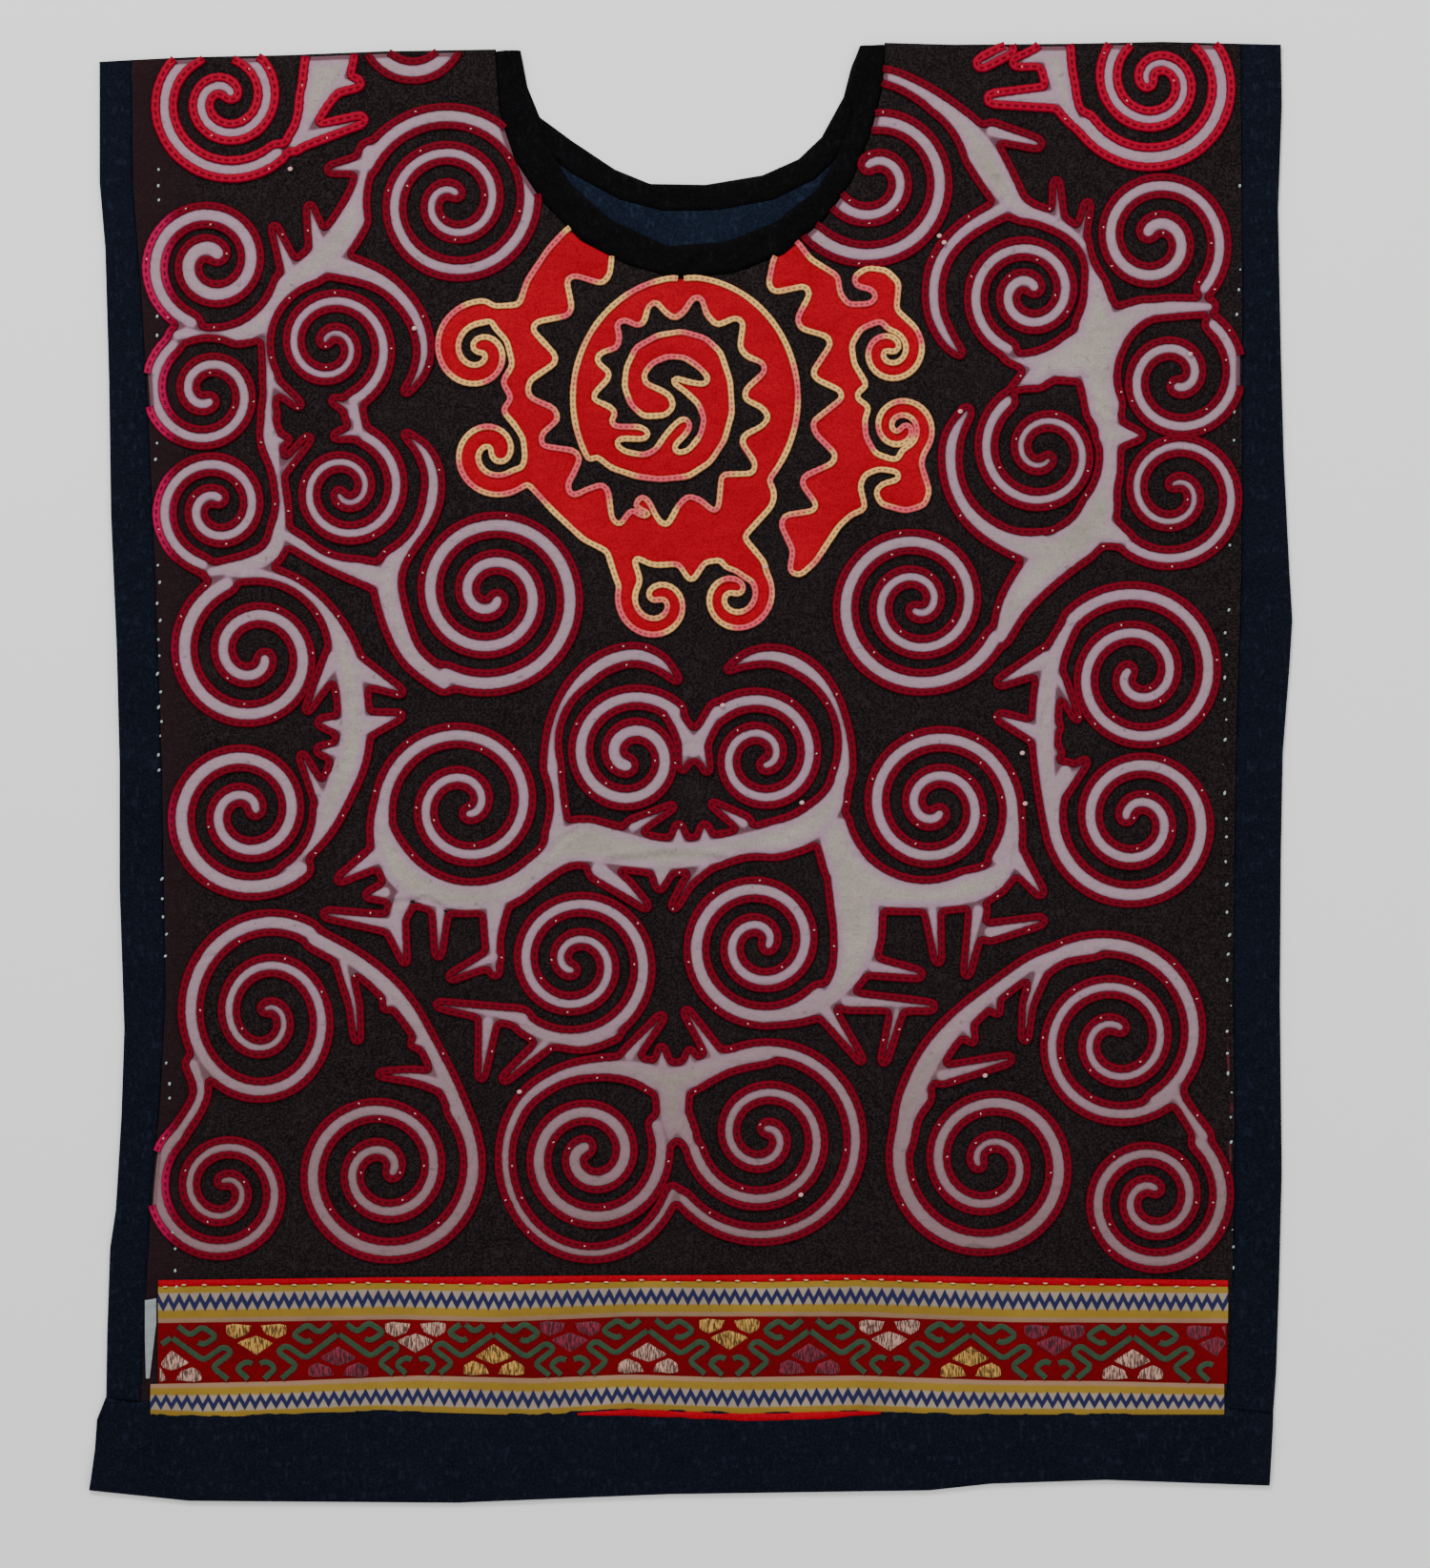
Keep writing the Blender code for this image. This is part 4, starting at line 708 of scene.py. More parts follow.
# %% Stains and crinkles
def make_wear_group():
    tree, given, result = new_group("wear", [], ["Fade", "Crinkle", "Grain"])
    place = own_place(tree)
    fade = noise_mask(tree, place, 0.035, 4.0)
    grain = smooth_step(tree, noise_mask(tree, place, 0.0010, 2.0), low=0.40, high=0.68)
    tree.links.new(grain, result.inputs["Grain"])
    upright = noise_mask(tree, place, 0.003, 4.0, (1.5, 0.5, 1.0))
    level = noise_mask(tree, place, 0.0045, 3.0, (0.6, 1.3, 1.0))
    tree.links.new(fade, result.inputs["Fade"])
    tree.links.new(maths(tree, "ADD", upright, maths(tree, "MULTIPLY", level, 0.6)), result.inputs["Crinkle"])
    return tree


wear_group = make_wear_group()


# %% [markdown]
# ## Cloth materials
# The ground is thin dark cotton: it shows brown between its threads and paler specks where
# threads lie on top. The strips are closer indigo cotton. The pale cloth has taken up red
# dye from the cords, so it is mauve along them, and towards its foot it is painted darker
# and browner: painted shade, where the light falls off.

# %% Dark cloths
def dark_cloth(name, deep, pale, roughness, crinkle, side=None, grain=0.25):
    mat, tree, shader = cloth_shader(name, roughness, sheen=0.01, shine=0.03)
    wear = use_group(tree, wear_group)
    weave = use_group(tree, weave_group, Threads=1500.0)
    colour = blend_colour(tree, wear["Fade"], deep, pale)
    colour = blend_colour(tree, maths(tree, "MULTIPLY", wear["Grain"], grain), colour,
                          tuple(min(1.0, v * 3.2) for v in pale))
    # Painted highlight: the tops of the crinkles are painted paler.
    ridge_highlight = smooth_step(tree, wear["Crinkle"], low=0.86, high=1.02)
    colour = blend_colour(tree, maths(tree, "MULTIPLY", ridge_highlight, 0.5), colour, tuple(v * 2.6 for v in pale))
    if side is not None:
        x = split(tree, own_place(tree))[0]
        share = maths(tree, "MULTIPLY", smooth_step(tree, x, side["from"], side["to"]), 0.75)
        colour = blend_colour(tree, share, colour, side["colour"])
    tree.links.new(colour, shader.inputs["Base Color"])
    under = bump(tree, wear["Crinkle"], crinkle, strength=0.9)
    tree.links.new(bump(tree, weave["Height"], distance=0.00015, strength=0.6, under=under),
                   shader.inputs["Normal"])
    return mat


ground_cloth = dark_cloth("open_dark_cotton", (0.0030, 0.0020, 0.0022), (0.0090, 0.0062, 0.0066),
                          roughness=0.85, crinkle=0.0014,
                          side={"from": -0.235, "to": -0.262, "colour": (0.016, 0.007, 0.009)}, grain=0.6)
indigo_cloth = dark_cloth("indigo_cotton", (0.0020, 0.0028, 0.0060), (0.0042, 0.0056, 0.0108),
                          roughness=0.9, crinkle=0.0006)
binding_cloth = dark_cloth("black_binding", (0.0011, 0.0011, 0.0014), (0.0024, 0.0022, 0.0026),
                           roughness=0.85, crinkle=0.0008)
facing_cloth = dark_cloth("indigo_facing", (0.0026, 0.0042, 0.0095), (0.0050, 0.0080, 0.0165),
                          roughness=0.85, crinkle=0.0006)


# %% Pale and red cloth
def pale_cloth():
    mat, tree, shader = cloth_shader("faded_pale_cotton", roughness=0.9, sheen=0.08)
    wear = use_group(tree, wear_group)
    weave = use_group(tree, weave_group, Threads=1400.0)
    place = own_place(tree)
    edge = tree.nodes.new("ShaderNodeAttribute")
    edge.attribute_name = "edge_mm"
    mauve = maths(tree, "SUBTRACT", 1.0, smooth_step(tree, edge.outputs["Fac"], low=2.0, high=8.0))
    mauve = maths(tree, "MULTIPLY", mauve, maths(tree, "ADD", 0.45, wear["Fade"]))
    # A dark wine line just beside the cord: painted shade, with some dye bleed.
    bleed_and_shade = maths(tree, "SUBTRACT", 1.0, smooth_step(tree, edge.outputs["Fac"], low=1.6, high=2.9))
    colour = blend_colour(tree, wear["Fade"], (0.215, 0.185, 0.155), (0.390, 0.345, 0.305))
    colour = blend_colour(tree, maths(tree, "MULTIPLY", wear["Grain"], 0.30), colour, (0.150, 0.130, 0.120))
    colour = blend_colour(tree, mauve, colour, (0.300, 0.190, 0.250))
    colour = blend_colour(tree, bleed_and_shade, colour, (0.110, 0.045, 0.060))
    # Painted shade: the cloth is painted darker and browner towards the foot, where the light falls off.
    wear_and_shade = smooth_step(tree, split(tree, place)[1], -0.05, -0.24)
    brown = blend_colour(tree, wear["Fade"], (0.120, 0.075, 0.065), (0.200, 0.115, 0.125))
    colour = blend_colour(tree, maths(tree, "MULTIPLY", wear_and_shade, 0.75), colour, brown)
    dots = smooth_step(tree, noise_mask(tree, place, 0.0045, 1.0), low=0.70, high=0.76)
    colour = blend_colour(tree, maths(tree, "MULTIPLY", dots, 0.4), colour, (0.09, 0.07, 0.07))
    tree.links.new(colour, shader.inputs["Base Color"])
    under = bump(tree, wear["Crinkle"], distance=0.0013, strength=0.9)
    tree.links.new(bump(tree, weave["Height"], distance=0.00012, strength=0.5, under=under),
                   shader.inputs["Normal"])
    return mat


def red_cloth(name, deep, bright):
    mat, tree, shader = cloth_shader(name, roughness=0.9, sheen=0.01, shine=0.05)
    wear = use_group(tree, wear_group)
    weave = use_group(tree, weave_group, Threads=1600.0)
    colour = blend_colour(tree, wear["Fade"], deep, bright)
    grain = maths(tree, "MULTIPLY", wear["Grain"], 0.35)
    colour = blend_colour(tree, grain, colour, tuple(v * 0.45 for v in deep))
    tree.links.new(colour, shader.inputs["Base Color"])
    under = bump(tree, wear["Crinkle"], distance=0.0011, strength=0.9)
    tree.links.new(bump(tree, weave["Height"], distance=0.0001, strength=0.4, under=under),
                   shader.inputs["Normal"])
    return mat


cream_cotton = pale_cloth()
red_cotton = red_cloth("red_cotton", (0.260, 0.0008, 0.0070), (0.430, 0.0012, 0.0120))
band_cotton = red_cloth("red_band", (0.090, 0.0010, 0.0030), (0.180, 0.0014, 0.0050))


# %% [markdown]
# ## Cord materials
# The cords are chains of thread laid on the edge. Each link is painted darker in its middle
# and at its sides: painted shade in the hollow of each link, and painted shade with some dye
# bleed along the cord's flanks. The map runs along the cord, one unit a link, so the links keep
# their length round every turn. The dark cord has brighter stretches where less dye has worn off.

# %% Cord materials
def cord_thread(name, side, ridge, hollow_shade, second=None, bright_left=None):
    mat, tree, shader = cloth_shader(name, roughness=0.7, sheen=0.0, shine=0.06)
    wear = use_group(tree, wear_group)
    uv = tree.nodes.new("ShaderNodeUVMap")
    uv.uv_map = "along"
    along, over, _ = split(tree, uv.outputs["UV"])
    from_middle = maths(tree, "ABSOLUTE", maths(tree, "SUBTRACT", over, 0.5))
    # The flanks are painted darker: painted shade beside the cord, with some dye bleed.
    flank_shade = smooth_step(tree, from_middle, low=0.22, high=0.38)
    middle = maths(tree, "SUBTRACT", 1.0, smooth_step(tree, from_middle, low=0.03, high=0.12))
    link = smooth_step(tree, maths(tree, "PINGPONG", along, 0.5), low=0.12, high=0.32)
    dash = maths(tree, "MULTIPLY", middle, link)
    wear_and_shade, fresh = tuple(v * 0.8 for v in ridge), tuple(min(1, v * 1.25) for v in ridge)
    colour = blend_colour(tree, wear["Fade"], wear_and_shade, fresh)
    if second is not None:
        change = smooth_step(tree, noise_mask(tree, own_place(tree), 0.022, 1.0), low=0.46, high=0.60)
        colour = blend_colour(tree, change, colour, second)
    if bright_left is not None:
        x = split(tree, own_place(tree))[0]
        colour = blend_colour(tree, smooth_step(tree, x, -0.252, -0.262), colour, bright_left)
    # The side colour is painted shade at the flanks, and the hollow colour is painted shade in the middle of
    # each link.
    colour = blend_colour(tree, flank_shade, colour, side)
    colour = blend_colour(tree, maths(tree, "MULTIPLY", dash, 0.75), colour, hollow_shade)
    tree.links.new(colour, shader.inputs["Base Color"])
    slant = maths(tree, "ADD", maths(tree, "MULTIPLY", along, 3.0), maths(tree, "MULTIPLY", from_middle, 2.5))
    strands = maths(tree, "SINE", maths(tree, "MULTIPLY", slant, 2 * math.pi))
    height = maths(tree, "SUBTRACT", maths(tree, "MULTIPLY", strands, 0.35), dash)
    tree.links.new(bump(tree, height, distance=0.0003, strength=0.6), shader.inputs["Normal"])
    return mat


# Each cord: painted side shade, thread colour, painted hollow shade.
dark_cord = cord_thread("dark_red_cord",
                        (0.014, 0.0006, 0.0018), (0.135, 0.0010, 0.0085), (0.018, 0.0005, 0.0022),
                        bright_left=(0.330, 0.004, 0.050))
crimson_cord = cord_thread("crimson_cord",
                           (0.080, 0.0008, 0.0060), (0.290, 0.0012, 0.0170), (0.040, 0.0008, 0.0040))
yellow_cord = cord_thread("yellow_pink_cord",
                          (0.200, 0.070, 0.022), (0.700, 0.400, 0.130), (0.090, 0.025, 0.010),
                          second=(0.640, 0.075, 0.110))


# %% [markdown]
# ## Ground cloth
# The front ground lies on its solid, but the couching pulls it down beside each cord and it
# puffs up a little in between. A grid between the side seams, with the neck cut out, takes
# those heights. The back is plain and flat because the tunic rests on it.

# %% Applique drawings
NECK_LOOP = front_neck_loop()
PANEL_EDGES = [(LEFT_STRIP_SEAM, "left", 2.0), (RIGHT_STRIP_SEAM, "right", 2.0),
               (SHOULDER_LEFT + SHOULDER_RIGHT, "top", 0.5), (RED_EDGE_TOP, "foot", 1.5)]


def trimmed(field):
    """The drawing as cut by the panel's own edges, and its distance before that."""
    field["whole"] = field["d"].copy()
    keep_inside(field, PANEL_EDGES)
    keep_outside(field, NECK_LOOP, 1.0)
    return field


cream_drawing = trimmed(cream_field())
red_drawing = trimmed(red_field())


def read_field(field, key, x, y):
    """The field's value at any places, between its grid points."""
    u = np.clip((np.asarray(x) - field["x"][0]) / FIELD_STEP, 0, len(field["x"]) - 1.001)
    v = np.clip((np.asarray(y) - field["y"][0]) / FIELD_STEP, 0, len(field["y"]) - 1.001)
    c, r = u.astype(int), v.astype(int)
    f, g, d = u - c, v - r, field[key]
    return ((d[r, c] * (1 - f) + d[r, c + 1] * f) * (1 - g)
            + (d[r + 1, c] * (1 - f) + d[r + 1, c + 1] * f) * g)


print("cream cells", int((cream_drawing["d"] < 0).sum()), "red cells", int((red_drawing["d"] < 0).sum()))

# %% Front ground
GROUND_COLUMNS = 190
GROUND_ROWS = 225


def line_x(points, down):
    return np.interp(down, [p[1] for p in points], [p[0] for p in points])


def line_y(points, across):
    return np.interp(across, [p[0] for p in points], [p[1] for p in points])


def ground_relief(x, y):
    """Height of the ground over its flat place, in metres."""
    near = np.minimum(read_field(cream_drawing, "d", x, y), read_field(red_drawing, "d", x, y))
    puff = 0.0007 * (1 - np.exp(-np.maximum(near, 0) / 6.0))
    crimp = 0.0011 * soft_noise(x * 1.6, y * 0.55, 9.0, 3) + 0.0009 * soft_noise(x, y * 1.4, 26.0, 5)
    lift = puff + crimp * np.clip(near / 5.0, 0.1, 1.0)
    under_trims = np.clip((y - line_y(RED_EDGE_TOP, x) + 6.0) / 6.0, 0.0, 1.0)
    return lift * (1 - under_trims) - 0.0004 * under_trims


def front_ground():
    share_x = np.linspace(0, 1, GROUND_COLUMNS + 1)[None, :]
    share_y = np.linspace(0, 1, GROUND_ROWS + 1)[:, None]
    top = line_y(SHOULDER_LEFT + SHOULDER_RIGHT, 140 + share_x * 1160)
    foot = line_y(HEM_SEAM, 140 + share_x * 1160)
    y = top + share_y * (foot - top)
    left, right = line_x(LEFT_STRIP_SEAM, y), line_x(RIGHT_STRIP_SEAM, y)
    x = left + share_x * (right - left)
    neck = outline_gap({"x": x, "y": y, "own": True}, NECK_LOOP)
    for _ in range(2):
        step = np.clip(1.0 - neck, 0, 8.0)
        slope_y, slope_x = np.gradient(neck)
        size = np.maximum(np.hypot(slope_x, slope_y), TINY)
        near = (neck < 1.0) & (neck > -6.0)
        x = np.where(near, x + step * slope_x / size, x)
        y = np.where(near, y + step * slope_y / size, y)
        neck = outline_gap({"x": x, "y": y, "own": True}, NECK_LOOP)
    number = np.arange(x.size).reshape(x.shape)
    out = neck > -2.5
    keep = out[:-1, :-1] & out[1:, :-1] & out[1:, 1:] & out[:-1, 1:]
    quads = np.stack((number[:-1, :-1][keep], number[1:, :-1][keep],
                      number[1:, 1:][keep], number[:-1, 1:][keep]), axis=1)
    used, quads = np.unique(quads, return_inverse=True)
    quads = quads.reshape(-1, 4)
    z = FRONT_TOP + ground_relief(x, y)
    points = to_metres(x, y, z)[used]
    return cloth_piece("front_ground", points, quads.tolist(), ground_cloth)


def plain_back(name, outline, mat, thickness=CLOTH):
    """A flat back piece that rests on the surface."""
    n = len(outline)
    low = to_metres([p[0] for p in outline], [p[1] for p in outline], 0.0)
    high = low + np.array((0.0, 0.0, thickness))
    faces = []
    for tri in tessellate_polygon([[Vector((a, -d, 0.0)) for a, d in outline]]):
        a, b, c = (low[i] for i in tri)
        up = (b[0] - a[0]) * (c[1] - a[1]) - (b[1] - a[1]) * (c[0] - a[0]) > 0
        turn = tri if up else tri[::-1]
        faces.append([i + n for i in turn])
        faces.append(list(turn[::-1]))
    around = sum(p[0] * q[1] - q[0] * p[1] for p, q in zip(outline, outline[1:] + outline[:1])) < 0
    for i in range(n):
        j = (i + 1) % n
        side = (i, j, j + n, i + n)
        faces.append(side if around else side[::-1])
    piece = cloth_piece(name, np.concatenate((low, high)), faces, mat)
    for face in piece.data.polygons:
        face.use_smooth = False
    return piece


ground = front_ground()
body_outline = (SHOULDER_LEFT + BACK_NECK_SEAM[1:-1] + SHOULDER_RIGHT + RIGHT_STRIP_SEAM[1:]
                + HEM_SEAM[-2:0:-1] + LEFT_STRIP_SEAM[:0:-1])
back_ground = plain_back("back_ground", body_outline, ground_cloth)
for piece in (ground, back_ground):
    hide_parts("body_panel")

# %% [markdown]
# ## Strips, hem and bindings
# These are long bands of cloth between two measured lines, a little puffed between their
# seams. One function rounds them, and gives them the shallow ripples that stitching leaves.

# %% Bands between two lines
def resample(points, count):
    """Even places along an open line."""
    p = np.array(points, float)
    run = np.concatenate(([0.0], np.cumsum(np.hypot(*np.diff(p, axis=0).T))))
    at = np.linspace(0, run[-1], count)
    return np.stack((np.interp(at, run, p[:, 0]), np.interp(at, run, p[:, 1])), axis=1)


def band(name, first, second, across, step, low, high, mat, ripple=0.0003, map_period=0.0):
    """A band from one line to another. low is its height at the edges, high at the middle."""
    length = np.hypot(*np.diff(np.array(first, float), axis=0).T).sum()
    count = max(4, int(length / step))
    a, b = resample(first, count), resample(second, count)
    t = np.linspace(0, 1, across + 1)[None, :, None]
    p = a[:, None, :] * (1 - t) + b[:, None, :] * t
    t = t[..., 0]
    x, y = p[..., 0], p[..., 1]
    z = low + (high - low) * np.clip(1 - np.abs(2 * t - 1) ** 5, 0, 1) ** 0.6
    z = z + ripple * (soft_noise(x, y, 14.0, 7) + 0.6 * soft_noise(x, y, 5.0, 9)) * np.sin(math.pi * t) ** 0.5
    number = np.arange(x.size).reshape(x.shape)
    q = np.stack((number[:-1, :-1], number[:-1, 1:], number[1:, 1:], number[1:, :-1]), axis=-1).reshape(-1, 4)
    points = to_metres(x, y, z)
    e1, e2 = points[q[0, 1]] - points[q[0, 0]], points[q[0, 3]] - points[q[0, 0]]
    if np.cross(e1, e2)[2] < 0:
        q = q[:, ::-1]
    uv = None
    if map_period:
        along = np.broadcast_to((x - x.min()) / map_period, x.shape)
        uv = np.stack((along.ravel(), np.broadcast_to(t, x.shape).ravel()), axis=1)
    return cloth_piece(name, points, q.tolist(), mat, uv=uv)


def fold_roll(name, line, mat):
    """The rounded fold at a shoulder, from the front over to the back."""
    p = resample(line, max(3, int(len(line) * 12)))
    radius = FRONT_TOP / 2
    turn = np.linspace(0, math.pi, 9)[None, :]
    x = np.broadcast_to(p[:, :1], (len(p), 9))
    y = p[:, 1:] - radius * np.sin(turn) / PHOTO_PIXEL
    z = radius + radius * np.cos(turn)
    number = np.arange(x.size).reshape(x.shape)
    q = np.stack((number[:-1, :-1], number[1:, :-1], number[1:, 1:], number[:-1, 1:]), axis=-1).reshape(-1, 4)
    return cloth_piece(name, to_metres(x, y, z), q.tolist(), mat)


# %% Side strips
for side, outer, inner in (("left", LEFT_EDGE, LEFT_STRIP_SEAM), ("right", RIGHT_EDGE, RIGHT_STRIP_SEAM)):
    node = "side_strip_" + side
    front = band(node + "_front", outer, inner, across=18, step=4.0,
                 low=FRONT_Z + 0.0004, high=FRONT_TOP + 0.0007,
                 mat=indigo_cloth, ripple=0.0009)
    back = plain_back(node + "_back", outer + inner[::-1], indigo_cloth)
    roll = fold_roll(node + "_fold", [outer[0], inner[0]], indigo_cloth)
    for piece in (front, back, roll):
        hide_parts(node)
for side, line in (("left", SHOULDER_LEFT), ("right", SHOULDER_RIGHT)):
    roll = fold_roll("shoulder_fold_" + side, line, ground_cloth)
    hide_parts("body_panel")

# %% Hem bands
hem_top = [HEM_LEFT_END[0]] + HEM_SEAM + [HEM_RIGHT_END[0]]


def part_of(line, left, right):
    """The stretch of a line between two columns."""
    inner = [p for p in line if left < p[0] < right]
    return [(left, float(line_y(line, left)))] + inner + [(right, float(line_y(line, right)))]


for node, lines in (
        ("hem_band_front_left", ([HEM_LEFT_END[0]] + part_of(HEM_SEAM, 148, HEM_JOIN),
                                 part_of(HEM_EDGE, 93, HEM_JOIN))),
        ("hem_band_front_right", (part_of(HEM_SEAM, HEM_JOIN, 1286) + [HEM_RIGHT_END[0]],
                                  part_of(HEM_EDGE, HEM_JOIN, 1332)))):
    piece = band(node + "_cloth", *lines, across=28, step=4.0, low=FRONT_Z + 0.0005,
                 high=FRONT_TOP + 0.0006, mat=indigo_cloth, ripple=0.0012)
    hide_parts(node)
hem_around = hem_top + HEM_RIGHT_END[1:-1] + HEM_EDGE[::-1] + HEM_LEFT_END[-2:0:-1]
hem_back = plain_back("hem_band_back_cloth", hem_around, indigo_cloth)
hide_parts("hem_band_back")

# %% Neck binding and facing
front_binding = band("neck_binding_front_cloth", FRONT_NECK_SEAM, FRONT_NECK_EDGE, across=14, step=2.6,
                     low=FRONT_TOP - 0.0002, high=FRONT_TOP + 0.0016, mat=binding_cloth, ripple=0.0020)
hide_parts("neck_binding_front")
back_binding = band("neck_binding_back_cloth", BACK_NECK_SEAM, BACK_NECK_EDGE, across=12, step=2.6,
                    low=0.0004, high=0.0019, mat=binding_cloth, ripple=0.0012)
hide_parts("neck_binding_back")
facing = band("neck_facing_cloth", [(546, 75)] + BACK_NECK_SEAM[2:-2] + [(903, 80)],
              [(530, 85), (560, 190)] + [(a, d + 14) for a, d in FACING_FOOT] + [(890, 180), (918, 85)],
              across=12, step=3.0, low=BACK_TOP + 0.0001, high=BACK_TOP + 0.0003,
              mat=facing_cloth, ripple=0.0002)
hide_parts("neck_facing_back")

# %% [markdown]
# ## Applique cloth
# Each pale or red piece is a sheet that rises from its turned-in edge. Cutting the drawing's
# grid at the edge keeps every arm exact. Loose parts are then separated, as cut pieces are,
# and each takes the place of the solid whose box it shares.

# %% Creases in the pale cloth
CREASE_COLUMNS = ("places", "half_width", "depth")
CREASES = [
    ([(412, 947), (430, 946), (450, 943), (468, 957), (500, 962)], 3.0, 0.0011),
    ([(408, 625), (411, 650), (415, 670)], 2.5, 0.0008),
    ([(352, 742), (356, 780), (350, 812)], 3.0, 0.0007),
    ([(640, 905), (700, 898), (760, 902)], 4.0, 0.0008),
    ([(612, 868), (590, 880), (575, 896)], 3.0, 0.0007),
    ([(1046, 188), (1056, 204), (1050, 214)], 3.0, 0.0008),
    ([(1068, 168), (1072, 190)], 2.5, 0.0006),
    ([(1098, 560), (1112, 576), (1122, 600)], 3.0, 0.0007),
    ([(1146, 420), (1162, 432), (1176, 436)], 3.0, 0.0006),
    ([(1100, 735), (1094, 760), (1104, 782)], 2.5, 0.0008),
    ([(1060, 862), (1066, 882), (1064, 906)], 3.0, 0.0009),
    ([(900, 900), (930, 912), (960, 908)], 3.5, 0.0006),
    ([(318, 850), (334, 838), (348, 820)], 3.0, 0.0007),
    ([(196, 1012), (206, 1008), (222, 1002)], 2.5, 0.0006),
    ([(1150, 998), (1174, 1003)], 2.5, 0.0006),
    ([(1000, 1318), (1020, 1308), (1036, 1312)], 2.5, 0.0006),
    ([(545, 625), (552, 640), (548, 655)], 2.5, 0.0005),
]


def creases_at(x, y):
    """Soft troughs with a low ridge beside them, in metres."""
    lift = np.zeros(np.shape(x))
    for row in CREASES:
        crease = dict(zip(CREASE_COLUMNS, row))
        gap = np.full(np.shape(x), FAR)
        for (x0, y0), (x1, y1) in zip(crease["places"][:-1], crease["places"][1:]):
            dx, dy = x1 - x0, y1 - y0
            share = np.clip(((x - x0) * dx + (y - y0) * dy) / (dx * dx + dy * dy), 0, 1)
            gap = np.minimum(gap, np.hypot(x - x0 - share * dx, y - y0 - share * dy))
        wide = crease["half_width"]
        lift -= crease["depth"] * np.exp(-(gap / wide) ** 2)
        lift += 0.5 * crease["depth"] * np.exp(-((gap - 2.2 * wide) / wide) ** 2)
    return lift


# %% Sheets from the drawings
def applique_sheet(name, field, mat, rise):
    d, (rows, columns) = field["d"], field["d"].shape
    inside = d < 0
    number = np.full(d.shape, -1)
    number[inside] = np.arange(int(inside.sum()))
    r, c = np.nonzero(inside)
    x, y, deep = field["x"][c], field["y"][r], -d[r, c]
    lift = rise * (1 - np.exp(-deep / 3.5)) + creases_at(x, y)
    lift += np.clip(deep / 8, 0, 1) * (0.0007 * soft_noise(x, y, 16.0, 21) + 0.0005 * soft_noise(x, y, 6.0, 23))
    points = [to_metres(x, y, FRONT_TOP + 0.0002 + lift)]
    depth = [deep * PHOTO_PIXEL * 1000]
    corner = np.stack((number[:-1, :-1], number[1:, :-1], number[1:, 1:], number[:-1, 1:]), axis=-1)
    full = (corner >= 0).all(axis=-1)
    faces = corner[full].tolist()
    cut = {}
    extra = []

    def crossing(r0, c0, r1, c1):
        key = (min(r0, r1), min(c0, c1), r0 != r1)
        if key not in cut:
            cut[key] = len(x) + len(extra)
            t = d[r0, c0] / (d[r0, c0] - d[r1, c1])
            extra.append((field["x"][c0] + t * (c1 - c0) * FIELD_STEP,
                          field["y"][r0] + t * (r1 - r0) * FIELD_STEP))
        return cut[key]

    for r0, c0 in zip(*np.nonzero((corner >= 0).any(axis=-1) & ~full)):
        ring = [(r0, c0), (r0 + 1, c0), (r0 + 1, c0 + 1), (r0, c0 + 1)]
        face = []
        for (ra, ca), (rb, cb) in zip(ring, ring[1:] + ring[:1]):
            if inside[ra, ca]:
                face.append(int(number[ra, ca]))
            if inside[ra, ca] != inside[rb, cb]:
                face.append(crossing(ra, ca, rb, cb))
        faces.append(face)
    edge = np.array(extra)
    points.append(to_metres(edge[:, 0], edge[:, 1], FRONT_TOP + 0.0001))
    depth.append(np.zeros(len(edge)))
    return cloth_piece(name, np.concatenate(points), faces, mat, edge=np.concatenate(depth))


def separate_pieces(sheet, prefix, nodes):
    """Split a sheet into its loose pieces and name each after the solid that it lies on."""
    bpy.ops.object.select_all(action="DESELECT")
    sheet.select_set(True)
    bpy.context.view_layer.objects.active = sheet
    bpy.ops.mesh.separate(type="LOOSE")
    parts = list(bpy.context.selected_objects)
    bpy.ops.object.select_all(action="DESELECT")
    boxes = {node: np.array(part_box(node)) for node in nodes}
    made = {}
    for piece in parts:
        p = np.array([v.co[:] for v in piece.data.vertices])
        own = np.stack((p.min(0), p.max(0)))[:, :2]
        node = min(nodes, key=lambda n: np.abs(boxes[n][:, :2] - own).sum())
        if len(piece.data.polygons) < 40:
            bpy.data.objects.remove(piece)
            continue
        made.setdefault(node, []).append(piece)
    for node, pieces in sorted(made.items()):
        for n, piece in enumerate(pieces):
            piece.name = prefix + node[-2:] + ("" if n == 0 else f"_{n}")
            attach(piece, "root")
            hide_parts(node)
    print("left without cloth:", sorted(set(nodes) - set(made)))


cream_nodes = [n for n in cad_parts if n.startswith("applique_cream")]
red_nodes = [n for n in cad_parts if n.startswith("applique_red")]
separate_pieces(applique_sheet("cream_cloth", cream_drawing, cream_cotton, rise=0.0011),
                "cream_", cream_nodes)
separate_pieces(applique_sheet("red_cloth", red_drawing, red_cotton, rise=0.0010),
                "red_", red_nodes)

# %% [markdown]
# ## Couched cords
# A cord covers every cut edge. Its path is the drawing's own edge, so it can't miss. It is
# built as rings along that path: two ridges of thread with a dip at each link between them.
# Where the cloth runs into a seam the cord stops, and at the shoulders it sinks a little towards the fold.

# %% Paths of the cords
CORD_GRAIN = 3.1             # length of a ring, in photo pixels
SHOULDER_ROW = 56.0          # above this row an open cord sinks towards the fold
TRIM_GAP = -1.3              # the whole drawing's distance where an edge is a cut by a seam


